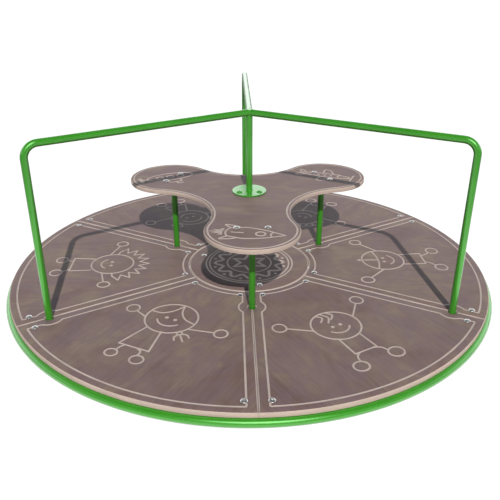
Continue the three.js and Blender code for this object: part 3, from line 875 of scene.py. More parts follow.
def shifted(drawing, x, y):
    return [(d[0], d[1] + x, d[2] + y, d[3]) if d[0] == "dot" else (d[0], [(p[0] + x, p[1] + y) for p in d[1]]) for d in drawing]


def engrave(drawing, z):
    ops = []
    for d in drawing:
        if d[0] == "dot":
            ops.append(dot(d[1], d[2], d[3], z))
        elif d[0] == "loop":
            ops.append(stroke(d[1], z, closed=True))
        elif d[0] == "fill":
            ops.append(pocket(d[1], z))
        else:
            ops.append(stroke(d[1], z))
    return ops


# ------------------------------------------------------------------ deck panels
def on_seam_at(a):
    return SEAT_POST_R if (a % 360) in (270, 30, 150) else RAIL_LEG_R


# The sixth of the deck along +X, before it is turned into place. Returns the outline and the rounding of each point.
def sector_outline(cw, ccw):
    half, e, r1, r0 = rad(30), SEAM / 2, DECK_R, CENTRE_R + 2
    a1, a0 = half - math.asin(e / r1), half - math.asin(e / r0)
    pts = [(p, 2.6) for p in arc(0, 0, r1, -a1, a1, 64)]
    d, n = Vector((math.cos(half), math.sin(half))), Vector((math.sin(half), -math.cos(half)))

    def notch(r, s):
        b, out = math.asin(e / HOLE_R), []
        for i in range(17):
            t = b + (PI - 2 * b) * i / 16
            q = d * (r + HOLE_R * math.cos(t)) + n * (HOLE_R * math.sin(t))
            out.append(((q.x, q.y * s), 2.2))
        return out

    def seam(ra, rb, s):
        k = max(2, int(abs(ra - rb) / 40))
        out = []
        for i in range(1, k):
            r = ra + (rb - ra) * i / k
            q = d * r + n * e
            out.append(((q.x, q.y * s), 4.2))
        return out

    pts += seam(r1, ccw + HOLE_R, 1) + notch(ccw, 1) + seam(ccw - HOLE_R, r0, 1)
    pts += [(p, 4.2) for p in arc(0, 0, r0, a0, -a0, 30)]
    pts += seam(r0, cw - HOLE_R, -1) + notch(cw, -1)[::-1] + seam(cw + HOLE_R, r1, -1)
    return [p for p, _ in pts], [c for _, c in pts]


# The engraved border: a line inset from the seams, bulging round the post or leg, with arcs at the rim and the centre.
def border_path(cw, ccw):
    inset, r_out, r_in, br = 36.0, 970.5, 290.0, 52.0
    half = rad(30)
    d, n = Vector((math.cos(half), math.sin(half))), Vector((math.sin(half), -math.cos(half)))

    def at(r, off, s):
        q = d * r + n * off
        return (q.x, q.y * s)

    def side(c, s):
        t = math.asin(inset / br)
        ro = math.sqrt(r_out ** 2 - inset ** 2)
        ri = math.sqrt(r_in ** 2 - inset ** 2)
        out = [at(ro, inset, s)]
        if c + br * math.cos(t) < ro - 4:
            out.append(at((ro + c + br * math.cos(t)) / 2, inset, s))
        out += [at(c + br * math.cos(t + (PI - 2 * t) * i / 14), br * math.sin(t + (PI - 2 * t) * i / 14), s) for i in range(15)]
        a = c - br * math.cos(t)
        k = max(2, int((a - ri) / 60))
        out += [at(a + (ri - a) * i / k, inset, s) for i in range(1, k + 1)]
        return out

    left, right = side(ccw, 1), side(cw, -1)
    a_out = math.atan2(left[0][1], left[0][0])
    a_in = math.atan2(left[-1][1], left[-1][0])
    path = arc(0, 0, r_out, -a_out, a_out, 70)[:-1] + left + arc(0, 0, r_in, a_in, -a_in, 24)[1:-1] + right[::-1][:-1]
    return fillet(path, 3.6, 3)


for name, deg in PANELS:
    cw, ccw = on_seam_at(deg - 30), on_seam_at(deg + 30)
    outline, rounds = sector_outline(cw, ccw)
    v, f = slab(outline, DECK_LOW, DECK_TOP, rounds, 1.0, "chamfer")
    me = fix_normals(raw_mesh("deck_panel_%s" % name, v, f))
    ops = [stroke(border_path(cw, ccw), DECK_TOP, closed=True, keep=True)]
    ops += engrave(DRAWINGS[name], DECK_TOP)
    half = rad(30)
    for s in (1, -1):
        for r, t in ((OUTER_BOLT_R, OUTER_BOLT_T), (INNER_BOLT_R, INNER_BOLT_T)):
            x, y = math.cos(half) * r + math.sin(half) * t, (math.sin(half) * r - math.cos(half) * t) * s
            ops.append(drill(x, y, 5.6, DECK_LOW - 2, DECK_TOP + 2))
    me = cut(me, ops)
    me.transform(Matrix.Rotation(rad(deg), 4, "Z"))
    finish_board(me, DECK_LOW, DECK_TOP, deg, BIRCH, DECK_R - 4)

    def inside(x, y, a=rad(deg), cw=cw, ccw=ccw):
        x, y = turn((x, y), -a)
        r = math.hypot(x, y)
        off = x * math.sin(half) - abs(y) * math.cos(half)
        if not (r < DECK_R - 12 and r > CENTRE_R + 12 and off > 12):
            return False
        c = ccw if y > 0 else cw
        return math.hypot(x - c * math.cos(half), abs(y) - c * math.sin(half)) > HOLE_R + 6

    mark_grooves(me, DECK_TOP, inside)
    piece("panel_%s" % name, me, (), "platform", ("deck_panel_%s" % name,), 28)

# ------------------------------------------------------------------ centre panel: a double ring and a garland of loops in place of lettering
v, f = slab(circle(0, 0, CENTRE_R, 160), DECK_LOW, DECK_TOP, 4.2, 1.0, "chamfer")
me = fix_normals(raw_mesh("centre_panel", v, f))
ops = [stroke(ring_pts(0, 0, 189, n=150), DECK_TOP, True, keep=True), stroke(ring_pts(0, 0, 174, n=150), DECK_TOP, True, keep=True)]
wave = [((134 + 16 * math.cos(t * 12)) * math.cos(t), (134 + 16 * math.cos(t * 12)) * math.sin(t)) for t in np.linspace(0, 2 * PI, 241)[:-1]]
ops.append(stroke(wave, DECK_TOP, True, keep=True, width=13))
ops.append(stroke(ring_pts(0, 0, 96, n=96), DECK_TOP, True, keep=True))
for k in range(12):
    t = 2 * PI * (k + 0.5) / 12
    ops.append(dot(154 * math.cos(t), 154 * math.sin(t), 7.5, DECK_TOP, 1.3))
for k in range(6):
    t = rad(30 + 60 * k)
    u = rad(30 + 60 * (k + 0.5))
    ops.append(stroke([(78 * math.cos(t), 78 * math.sin(t)), (38 * math.cos(u), 38 * math.sin(u))], DECK_TOP, width=12))
    ops.append(stroke([(38 * math.cos(u), 38 * math.sin(u)), (78 * math.cos(t + rad(60)), 78 * math.sin(t + rad(60)))], DECK_TOP, width=12))
for a in CENTRE_BOLTS:
    ops.append(drill(CENTRE_BOLT_R * math.cos(rad(a)), CENTRE_BOLT_R * math.sin(rad(a)), 5.6, DECK_LOW - 2, DECK_TOP + 2))
me = cut(me, ops)
finish_board(me, DECK_LOW, DECK_TOP, 0, BIRCH, DECK_R)
mark_grooves(me, DECK_TOP, lambda x, y: math.hypot(x, y) < 200)
piece("centre_disc", me, (), "platform", ("centre_panel",), 28)

# ------------------------------------------------------------------ seat board
HOLLOW = (LOBE_R ** 2 + WAIST_R ** 2 - 2 * WAIST_R * LOBE_R * 0.5 - LOBE_TIP ** 2) / (2 * (LOBE_TIP - WAIST_R + LOBE_R * 0.5))


def seat_outline(grow=0.0, n=44, k=26):
    H, pts = WAIST_R + HOLLOW, []
    for b in (270, 30, 150):
        lobe = Vector((LOBE_R * math.cos(rad(b)), LOBE_R * math.sin(rad(b))))
        nxt = Vector((H * math.cos(rad(b + 60)), H * math.sin(rad(b + 60))))
        to = math.atan2(nxt.y - lobe.y, nxt.x - lobe.x)
        spread = (to - rad(b)) % (2 * PI)
        r = LOBE_TIP + grow
        pts += [(lobe.x + r * math.cos(rad(b) - spread + 2 * spread * i / n), lobe.y + r * math.sin(rad(b) - spread + 2 * spread * i / n)) for i in range(n + 1)]
        start = to + PI
        half = (rad(b + 60) + PI - start + PI) % (2 * PI) - PI
        h = HOLLOW - grow
        pts += [(nxt.x + h * math.cos(start + 2 * half * i / k), nxt.y + h * math.sin(start + 2 * half * i / k)) for i in range(1, k)]
    return pts


# Three vehicles, each drawn along +x about its own middle.
def rocket():
    d = [("line", curve_through([(-70, 30), (-20, 42), (40, 32), (88, 12), (112, 0)], 10)),
         ("line", curve_through([(-70, -30), (-20, -42), (40, -32), (88, -12), (112, 0)], 10)),
         ("line", curve_through([(-70, 30), (-78, 0), (-70, -30)], 8)),
         ("loop", ring_pts(34, 0, 15, n=36)),
         ("line", curve_through([(72, 19), (66, 0), (72, -19)], 8)),
         ("line", curve_through([(-66, 31), (-88, 56), (-52, 50), (-34, 39)], 8)),
         ("line", curve_through([(-66, -31), (-88, -56), (-52, -50), (-34, -39)], 8)),
         ("line", [(-60, 0), (-22, 0)]),
         ("fill", [(-84, 26), (-100, 22), (-92, 14), (-124, 12), (-104, 3), (-146, -2), (-106, -8), (-126, -18), (-94, -16), (-100, -26), (-84, -25), (-88, 0)])]
    return d


def aeroplane():
    d = [("line", curve_through([(-104, 6), (-40, 20), (40, 22), (92, 10), (104, 0)], 10)),
         ("line", curve_through([(-104, -6), (-40, -16), (40, -20), (92, -10), (104, 0)], 10)),
         ("line", [(-104, 6), (-104, -6)]),
         ("line", curve_through([(30, 20), (8, 62), (-18, 68), (-14, 21)], 8)),
         ("line", curve_through([(30, -20), (8, -62), (-18, -68), (-14, -19)], 8)),
         ("line", curve_through([(-82, 10), (-104, 34), (-118, 32), (-106, 8)], 8)),
         ("line", curve_through([(-82, -8), (-104, -32), (-118, -30), (-106, -8)], 8)),
         ("line", curve_through([(60, 18), (52, 0), (60, -17)], 8)),
         ("line", [(112, 34), (112, -34)]),
         ("dot", 24, 0, 6), ("dot", -2, 1, 6), ("dot", -28, 1, 6)]
    return d


def submarine():
    d = [("loop", ring_pts(0, 0, 96, 40, 72)),
         ("line", curve_through([(-22, -39), (-20, -66), (24, -66), (28, -38)], 8)),
         ("line", [(4, -66), (4, -88)]), ("line", [(4, -88), (26, -88)]),
         ("loop", ring_pts(-44, 0, 14, n=32)), ("loop", ring_pts(0, 0, 14, n=32)), ("loop", ring_pts(44, 0, 14, n=32)),
         ("line", [(-96, 0), (-116, 0)]),
         ("fill", [(-112, 4), (-118, 30), (-132, 28), (-128, 2), (-132, -28), (-118, -30), (-112, -4)])]
    return d


outline = seat_outline()
v, f = slab(outline, SEAT_LOW, SEAT_TOP, 3.0, 3.0, 4)
me = fix_normals(raw_mesh("seat_board", v, f))
ops = [stroke(seat_outline(-13.5), SEAT_TOP, True, step=4.5)]
ops += engrave(shifted(place(rocket(), -11, size=1.14), -10, -430), SEAT_TOP)
for drawing, b, face, shift in ((aeroplane(), 30, -24, 400), (submarine(), 150, 24, 400)):
    cx, cy = shift * math.cos(rad(b)), shift * math.sin(rad(b))
    ops += engrave(shifted(place(drawing, face, size=1.08), cx, cy), SEAT_TOP)
for _, b in LOBES:
    for t in (SEAT_BOLT_T, -SEAT_BOLT_T):
        x, y = turn((SEAT_BOLT_R, t), rad(b))
        ops.append(drill(x, y, 5.6, SEAT_LOW - 2, SEAT_TOP + 2))
for b in (90, 210, 330):
    ops.append(drill(POST_BOLT_R * math.cos(rad(b)), POST_BOLT_R * math.sin(rad(b)), 5.6, SEAT_LOW - 2, SEAT_TOP + 2))
me = cut(me, ops)
finish_board(me, SEAT_LOW, SEAT_TOP, 0, BIRCH_SEAT)
edge_pts = np.array(outline)


def well_inside(x, y):
    return np.min(np.hypot(edge_pts[:, 0] - x, edge_pts[:, 1] - y)) > 8.5


mark_grooves(me, SEAT_TOP, well_inside)
piece("seat_trefoil", me, (), "platform", ("seat_board",), 28)

# ------------------------------------------------------------------ weld beads
def bead(pts, r, closed=False, pitch=3.2, squash=0.75, seed=1):
    rng = random.Random(seed)
    p = resample([tuple(q) for q in pts], pitch / 4, closed)
    n = len(p)
    path = [Vector(q) for q in p]
    sides, ups, scales = [], [], []
    phase = rng.random() * 6
    for i in range(n):
        a = path[i - 1] if (i > 0 or closed) else path[i]
        b = path[(i + 1) % n] if (i < n - 1 or closed) else path[i]
        t = (b - a).normalized()
        ref = Vector((0, 0, 1)) if abs(t.z) < 0.9 else Vector((1, 0, 0))
        s = t.cross(ref).normalized()
        sides.append(s)
        ups.append(s.cross(t))
        scales.append(1 + 0.13 * abs(math.sin(phase + i * PI / 4)) + rng.uniform(-0.03, 0.03))
    section = [(r * math.cos(2 * PI * k / 8), r * math.sin(2 * PI * k / 8)) for k in range(8)]
    return sweep(path, sides, ups, section, closed, scales)


def circle3(cx, cy, z, r, n=40):
    return [(cx + r * math.cos(2 * PI * k / n), cy + r * math.sin(2 * PI * k / n), z) for k in range(n)]


# ------------------------------------------------------------------ rim tube
prof = [(RIM_R + RIM_TUBE * math.cos(2 * PI * k / 28), RIM_Z + RIM_TUBE * math.sin(2 * PI * k / 28)) for k in range(28)]
v, f = lathe(prof, 300)
me = fix_normals(raw_mesh("rim", v, f))
me = cut(me, [drill(RIM_R * math.cos(rad(a)), RIM_R * math.sin(rad(a)), 4, RIM_LOW - 4, RIM_LOW + 9) for a in (0, 120, 240)])
piece("rim_hoop", me, (GREEN,), "platform", ("rim_tube",), 40)

# ------------------------------------------------------------------ arms
def rounded_square(w, r, n=4):
    out = []
    for cx, cy, a in ((w - r, w - r, 0), (-w + r, w - r, PI / 2), (-w + r, -w + r, PI), (w - r, -w + r, 3 * PI / 2)):
        out += [(cx + r * math.cos(a + PI / 2 * k / n), cy + r * math.sin(a + PI / 2 * k / n)) for k in range(n + 1)]
    return out


ARM_FROM, ARM_TO, ARM_MID = 58.2, 982.0, (ARM_LOW + ARM_TOP) / 2
for i, (name, deg) in enumerate(SEAMS):
    o2, i2 = rounded_square(15, 3.5), rounded_square(12, 1.6)
    m = len(o2)
    verts, faces = [], []
    for x in (ARM_FROM, ARM_TO):
        for sec in (o2, i2):
            verts += [(x, a, ARM_MID + b) for a, b in sec]
    for k in range(m):
        j = (k + 1) % m
        faces += [(k, j, 2 * m + j, 2 * m + k), (m + j, m + k, 3 * m + k, 3 * m + j), (j, k, m + k, m + j), (2 * m + k, 2 * m + j, 3 * m + j, 3 * m + k)]
    me = fix_normals(raw_mesh("arm", turned(verts, deg), faces))
    piece("arm_tube_%s" % name, me, (GREEN,), "platform", ("arm_%s" % name,), 40)
    square = [(a, b) for a, b in rounded_square(15.3, 4, 3)]
    hub_end = [(57.6, a, ARM_MID + b) for a, b in square]
    rim_end = [(982.2, a, ARM_MID + b * 0.98) for a, b in square]
    parts = [bead(turned(hub_end, deg), 2.4, True, seed=i), bead(turned(rim_end, deg), 2.2, True, seed=20 + i)]
    piece("arm_welds_%s" % name, join_parts("w", parts), (GREEN,), "platform", (), 50)

# ------------------------------------------------------------------ bolts, nuts and straps
def dome_bolt(z_face, foot, nut_low, washer=True, head_r=12.3, head_h=5.4, socket=3.2):
    parts = []
    g = z_face + 0.12
    prof = [(0, foot + 0.6), (3.6, foot + 0.6), (4.9, foot + 1.9)]
    z = foot + 1.9
    while z < nut_low + 9.5:
        prof += [(4.95, z + 0.35), (4.2, z + 0.85), (4.95, z + 1.3)]
        z += 1.45
    prof += [(5.0, z + 0.6), (5.0, g - 0.1), (head_r - 0.5, g), (head_r, g + 0.5), (head_r - 0.15, g + 1.1)]
    for k in range(1, 14):
        t = PI / 2 * k / 14
        prof.append(((head_r - 0.15) * math.cos(t), g + 1.1 + (head_h - 1.1) * math.sin(t)))
    prof.append((0, g + head_h))
    v, f = lathe(prof, 40)
    bolt = fix_normals(raw_mesh("bolt", v, f))
    hexa = [(socket * math.cos(PI / 3 * k), socket * math.sin(PI / 3 * k)) for k in range(6)]
    v, f = slab(hexa, g + head_h - 3.0, g + head_h + 2, 0.0, 0.0, 1)
    bolt = cut(bolt, [fix_normals(raw_mesh("socket", v, f))])
    # a chamfered hexagon nut
    ang = [PI / 3 * k for k in range(6)]
    verts, faces = [], []
    nut_r, h = 9.2, 8.0
    v, f = lathe([(0, nut_low), (7.6, nut_low), (9.3, nut_low + 0.9), (9.3, nut_low + h - 0.9), (7.6, nut_low + h), (0, nut_low + h)], 48)
    nut = fix_normals(raw_mesh("nut", v, f))
    hexa = [(nut_r * math.cos(a), nut_r * math.sin(a)) for a in ang]
    v, f = slab(hexa, nut_low - 1, nut_low + h + 1, 0.0, 0.0, 1)
    nut = cut(nut, [fix_normals(raw_mesh("hex", v, f))], "INTERSECT")
    out = cut(bolt, [nut], "UNION")
    return out


def bolts_as_pieces(items, proto, mat=None):
    """items: list of (name, x, y, turn, replaces)."""
    for name, x, y, spin, reps in items:
        me = proto.copy()
        me.transform(Matrix.Translation((x * MM, y * MM, 0)) @ Matrix.Rotation(spin, 4, "Z"))
        piece(name, me, (mat or ZINC,), "platform", reps, 35)


rng = random.Random(7)
STRAP_LOW = lo_hi("outer_panel_clamp_front")[0][2]
deck_bolt = dome_bolt(DECK_TOP, ARM_TOP - 4 - 11, ARM_TOP - 4 - 7.9)
items = []
for name, deg in SEAMS:
    for r, t, kind in ((OUTER_BOLT_R, OUTER_BOLT_T, "outer"), (INNER_BOLT_R, INNER_BOLT_T, "inner")):
        for side, s in (("a", 1), ("b", -1)):
            x, y = turn((r, t * s), rad(deg))
            items.append(("deck_bolt_%s_%s_%s" % (kind, name, side), x, y, rng.uniform(0, 6.28), ()))
bolts_as_pieces(items, deck_bolt)

for name, deg in SEAMS:
    for r, t, kind in ((OUTER_BOLT_R, OUTER_BOLT_T, "outer"), (INNER_BOLT_R, INNER_BOLT_T, "inner")):
        i, ear, low, top, th = 15.4, t + 15, ARM_LOW - 0.4, ARM_TOP, 4.0
        hat = [(i, top), (i, low), (-i, low), (-i, top), (-ear, top), (-ear, top - th), (-i - th, top - th), (-i - th, low - th),
               (i + th, low - th), (i + th, top - th), (ear, top - th), (ear, top)]
        radii = [3.6, 3.0, 3.0, 3.6, 0.6, 0.6, 1.2, 5.5, 5.5, 1.2, 0.6, 0.6]
        prof = fillet(hat, radii, 5)
        v, f = slab(prof, r - 15, r + 15, 0.7, 0.7, 2)
        v = turned([(c, a, b) for a, b, c in v], deg)
        me = fix_normals(raw_mesh("strap", v, f))
        piece("clamp_strap_%s_%s" % (kind, name), me, (STRAP,), "platform", ("%s_panel_clamp_%s" % (kind, name),), 35)

WEB_HIGH = ARM_LOW - 0.3  # the web plate's underside carries the centre panel's nuts
WEB_LOW = WEB_HIGH - 5.7
centre_bolt = dome_bolt(DECK_TOP, WEB_LOW - 0.3 - 11, WEB_LOW - 0.3 - 8)
bolts_as_pieces([("centre_bolt_%d" % (k + 1), CENTRE_BOLT_R * math.cos(rad(a)), CENTRE_BOLT_R * math.sin(rad(a)), rng.uniform(0, 6.28), ("centre_panel_bolt_%d" % (k + 1),)) for k, a in enumerate(CENTRE_BOLTS)], centre_bolt)
plate_low = SEAT_LOW - 0.3 - 5
seat_bolt = dome_bolt(SEAT_TOP, plate_low - 0.3 - 11, plate_low - 0.3 - 8)
items = []
for name, b in LOBES:
    for side, t in (("left", -SEAT_BOLT_T), ("right", SEAT_BOLT_T)):
        x, y = turn((SEAT_BOLT_R, t), rad(b))
        items.append(("seat_stud_%s_%s" % (name, side), x, y, rng.uniform(0, 6.28), ("seat_bolt_%s_%s" % (name, side),)))
bolts_as_pieces(items, seat_bolt)
flange_bolt = dome_bolt(FLANGE_HIGH, SEAT_LOW - 0.3 - 11, SEAT_LOW - 0.3 - 8)
bolts_as_pieces([("flange_bolt_%d" % (k + 1), POST_BOLT_R * math.cos(rad(a)), POST_BOLT_R * math.sin(rad(a)), rng.uniform(0, 6.28), ("post_flange_bolt_%d" % (k + 1),)) for k, a in enumerate((90, 210, 330))], flange_bolt, GREEN)

# ------------------------------------------------------------------ seat posts
for i, (name, b) in enumerate(LOBES):
    top = SEAT_LOW - 0.3
    ri = TUBE - 2.6
    ringv, ringf = lathe(fillet([(TUBE, DECK_LOW), (TUBE, top - 4), (ri, top - 4), (ri, DECK_LOW)], 0.5, 2), 48)
    ringv = [(x + SEAT_POST_R, y, z) for x, y, z in ringv]
    tube = fix_normals(raw_mesh("post", ringv, ringf))
    rect = fillet([(SEAT_BOLT_R - 25, -75), (SEAT_BOLT_R + 25, -75), (SEAT_BOLT_R + 25, 75), (SEAT_BOLT_R - 25, 75)], 9, 6)
    v, f = slab(rect, top - 5, top, 0.6, 0.6, 2)
    plate = fix_normals(raw_mesh("plate", v, f))
    plate = cut(plate, [drill(SEAT_BOLT_R, t, 5.6, top - 9, top + 3) for t in (SEAT_BOLT_T, -SEAT_BOLT_T)])
    me = cut(tube, [plate], "UNION")
    me.transform(Matrix.Rotation(rad(b), 4, "Z"))
    piece("seat_column_%s" % name, me, (GREEN,), "platform", ("seat_post_%s" % name,), 35)
    c = turn((SEAT_POST_R, 0), rad(b))
    parts = [bead(circle3(c[0], c[1], top - 5.6, TUBE + 0.9), 1.7, True, seed=40 + i), bead(circle3(c[0], c[1], ARM_TOP + 1.3, TUBE + 0.3), 1.5, True, seed=43 + i)]
    piece("seat_column_welds_%s" % name, join_parts("w", parts), (GREEN,), "platform", (), 50)

# ------------------------------------------------------------------ handrails
CS = [(TUBE * math.cos(2 * PI * k / 32), TUBE * math.sin(2 * PI * k / 32)) for k in range(32)]
for i, (name, deg) in enumerate(RAILS):
    a = rad(deg)
    d, up = Vector((math.cos(a), math.sin(a), 0)), Vector((0, 0, 1))
    side = Vector((-d.y, d.x, 0))
    path, ups = [], []
    for r in np.linspace(6.0, RAIL_LEG_R - RAIL_BEND, 24)[:-1]:
        path.append(d * r + up * RAIL_Z)
        ups.append(up.copy())
    for k in range(25):
        t = PI / 2 * k / 24
        path.append(d * (RAIL_LEG_R - RAIL_BEND + RAIL_BEND * math.sin(t)) + up * (RAIL_Z - RAIL_BEND + RAIL_BEND * math.cos(t)))
        ups.append((d * math.sin(t) + up * math.cos(t)))
    for z in np.linspace(RAIL_Z - RAIL_BEND, DECK_LOW, 22)[1:]:
        path.append(d * RAIL_LEG_R + up * z)
        ups.append(d.copy())
    v, f = sweep(path, [side] * len(path), ups, CS)
    me = fix_normals(raw_mesh("rail", v, f))
    piece("rail_%s" % name, me, (GREEN,), "platform", ("handrail_%s" % name,), 40)
    pts = []
    for k in range(48):
        t = 2 * PI * k / 48
        y, z = (TUBE + 0.2) * math.cos(t), (TUBE + 0.2) * math.sin(t)
        x = max(abs(z), abs(y) / math.tan(rad(60)))
        q = d * (x + 0.2) + side * y + up * (RAIL_Z + z)
        pts.append(tuple(q))
    c = d * RAIL_LEG_R
    parts = [bead(pts, 0.8, True, 2.6, seed=60 + i), bead(circle3(c.x, c.y, ARM_TOP + 1.3, TUBE + 0.3), 1.5, True, seed=63 + i)]
    piece("rail_welds_%s" % name, join_parts("w", parts), (GREEN,), "platform", (), 50)

# ------------------------------------------------------------------ centre post
prof = fillet([(TUBE - 2.6, FLANGE_LOW), (POST_FLANGE_R, FLANGE_LOW), (POST_FLANGE_R, FLANGE_HIGH), (TUBE, FLANGE_HIGH), (TUBE, RAIL_Z + TUBE), (0, RAIL_Z + TUBE), (0, RAIL_Z + 6), (TUBE - 2.6, RAIL_Z + 6)],
              [0.3, 0.8, 1.1, 0.4, 2.2, 0, 0, 0.5], 4)
v, f = lathe(prof, 64)
me = fix_normals(raw_mesh("post", v, f))
me = cut(me, [drill(POST_BOLT_R * math.cos(rad(b)), POST_BOLT_R * math.sin(rad(b)), 5.6, FLANGE_LOW - 3, FLANGE_HIGH + 3) for b in (90, 210, 330)])
piece("centre_column", me, (GREEN,), "platform", ("centre_post",), 35)
piece("centre_column_weld", join_parts("w", [bead(circle3(0, 0, FLANGE_HIGH + 0.7, TUBE + 0.8), 1.8, True, seed=70)]), (GREEN,), "platform", (), 50)

# ------------------------------------------------------------------ hub, spindle and bearings
HUB_R, BR = 57.15, 45.3
prof = [(BR, HUB_LOW), (HUB_R, HUB_LOW), (HUB_R, WEB_LOW), (250, WEB_LOW), (250, WEB_HIGH), (HUB_R, WEB_HIGH), (HUB_R, HUB_HIGH), (BR, HUB_HIGH),
        (BR, 83.7), (41.6, 83.7), (41.6, 50.3), (BR, 50.3)]
v, f = lathe(fillet(prof, [0.8, 1.2, 0.0, 1.0, 1.0, 0.0, 1.0, 0.8, 0.3, 0.6, 0.6, 0.3], 3), 128)
me = fix_normals(raw_mesh("hub", v, f))
me = cut(me, [drill(CENTRE_BOLT_R * math.cos(rad(b)), CENTRE_BOLT_R * math.sin(rad(b)), 5.6, WEB_LOW - 3, WEB_HIGH + 3) for b in CENTRE_BOLTS])
piece("hub_barrel", me, (GREEN,), "platform", ("hub_housing",), 35)
piece("hub_weld", join_parts("w", [bead(circle3(0, 0, WEB_LOW - 0.8, HUB_R + 1, 96), 2.8, True, seed=71)]), (GREEN,), "platform", (), 50)


def lathe_piece(name, prof, radii, seg, mat, body, nodes, angle=32):
    v, f = lathe(fillet(prof, radii, 3), seg)
    return piece(name, fix_normals(raw_mesh(name, v, f)), (mat,), body, nodes, angle)


lathe_piece("hub_cap", [(0, 118.3), (43.2, 118.3), (43.2, 112.2), (44.9, 112.2), (44.9, 118.3), (56, 118.3), (56, 120.2), (0, 120.2)],
            [0, 0.5, 0.4, 0.4, 0.4, 0.5, 1.2, 0], 96, GALV, "platform", ("hub_cover",))
lathe_piece("hub_lip_seal", [(36.0, 23), (45, 23), (45, 29.7), (41, 29.7), (38.4, 26.2), (36.0, 25.4)], [0.4, 0.5, 0.5, 0.5, 0.8, 0.5], 96, RUBBER, "platform", ("hub_seal",))
me_f = slab(circle(0, 0, 160, 128), 0, 12, 1.6, 0.4, 3)
me = fix_normals(raw_mesh("base", *me_f))
me = cut(me, [drill(135 * math.cos(rad(b)), 135 * math.sin(rad(b)), 8, -3, 15) for b in (45, 135, 225, 315)])
piece("ground_flange", me, (GREEN,), "base", ("base_flange",), 35)
piece("ground_flange_weld", join_parts("w", [bead(circle3(0, 0, 12.6, 35.8, 80), 2.4, True, seed=72)]), (GREEN,), "base", (), 50)
lathe_piece("spindle_shaft", [(0, 12.3), (35, 12.3), (35, 29.7), (25, 29.7), (25, 113.5), (23, 115.5), (0, 115.5)], [0, 0.2, 1.0, 0.6, 0.2, 0.4, 0], 96, STEEL, "base", ("spindle",))
lathe_piece("inner_ring_spacer", [(25.3, 50.3), (29.5, 50.3), (29.5, 83.7), (25.3, 83.7)], 0.4, 80, GALV, "base", ("bearing_spacer",))
v, f = lathe(fillet([(25.3, 104.3), (33, 104.3), (33, 106.3), (25.3, 106.3)], 0.3, 2), 80)
me = fix_normals(raw_mesh("washer", v, f))
tabs = []
for k in range(9):
    a = 2 * PI * k / 9
    q = [(30.5, -1.6), (34, -1.6), (34, 1.6), (30.5, 1.6)]
    v, f = slab([turn(p, a) for p in q], 103, 108, 0.0, 0.0, 1)
    tabs.append(fix_normals(raw_mesh("t", v, f)))
piece("tab_washer", cut(me, tabs), (ZINC,), "base", ("lock_washer",), 35)
v, f = lathe(fillet([(25.3, 106.6), (32, 106.6), (34, 108.3), (34, 113.3), (32.5, 114.8), (25.3, 114.8)], [0.5, 0.3, 0.3, 0.3, 0.3, 0.8], 2), 96)
me = fix_normals(raw_mesh("nut", v, f))
slots = []
for k in range(4):
    a = 2 * PI * k / 4 + 0.3
    q = [(31, -3.2), (36, -3.2), (36, 3.2), (31, 3.2)]
    v, f = slab([turn(p, a) for p in q], 105, 117, 0.0, 0.0, 1)
    slots.append(fix_normals(raw_mesh("s", v, f)))
piece("slotted_nut", cut(me, slots), (ZINC,), "base", ("lock_nut",), 35)

PITCH, BALL = 35.0, 6.35
for name, z in (("lower", 30.0), ("upper", 84.0)):
    mid, race = z + 10, BALL + 0.25
    groove = lambda cx, s: [(cx + s * race * math.cos(rad(t)), mid + race * math.sin(rad(t))) for t in range(-42, 43, 7)]
    inner = [(25.3, z + 1)] + [(26.2, z), (30.0, z), (30.3, z + 0.6)] + groove(PITCH, -1) + [(30.3, z + 19.4), (30.0, z + 20), (26.2, z + 20), (25.3, z + 19)]
    outer = [(45, z + 1.2), (45, z + 18.8), (43.8, z + 20), (40.2, z + 20), (39.9, z + 19.4)] + groove(PITCH, 1)[::-1] + [(39.9, z + 0.6), (40.2, z), (43.8, z)]
    v, f = lathe(inner, 96)
    piece("%s_inner_race" % name, fix_normals(raw_mesh("r", v, f)), (STEEL,), "base", ("%s_bearing_inner_ring" % name,), 30)
    v, f = lathe(outer, 96)
    piece("%s_outer_race" % name, fix_normals(raw_mesh("r", v, f)), (STEEL,), "platform", ("%s_bearing_outer_ring" % name,), 30)
    # the cage is a ring with a pocket for each ball
    v, f = lathe(fillet([(PITCH - 1.1, mid - 4.2), (PITCH + 1.1, mid - 4.2), (PITCH + 1.1, mid + 4.2), (PITCH - 1.1, mid + 4.2)], 0.4, 2), 96)
    cage = fix_normals(raw_mesh("cage", v, f))
    holes = []
    for k in range(8):
        a = 2 * PI * k / 8
        bm = bmesh.new()
        bmesh.ops.create_uvsphere(bm, u_segments=24, v_segments=16, radius=(BALL + 0.02) * MM)
        bmesh.ops.translate(bm, verts=bm.verts, vec=(PITCH * MM * math.cos(a), PITCH * MM * math.sin(a), mid * MM))
        hm = bpy.data.meshes.new("h")
        bm.to_mesh(hm)
        bm.free()
        holes.append(hm)
    cage = cut(cage, holes)
    piece("%s_cage_ring" % name, cage, (BRASS,), "%s_cage" % name, ("%s_ball_cage" % name,), 35)
    bm = bmesh.new()
    for k in range(8):
        a = 2 * PI * k / 8
        made = bmesh.ops.create_uvsphere(bm, u_segments=28, v_segments=18, radius=BALL * MM)
        bmesh.ops.translate(bm, verts=made["verts"], vec=(PITCH * MM * math.cos(a), PITCH * MM * math.sin(a), mid * MM))
    bme = bpy.data.meshes.new("balls")
    bm.to_mesh(bme)
    bm.free()
    piece("%s_balls" % name, bme, (STEEL,), "%s_cage" % name, (), 60)

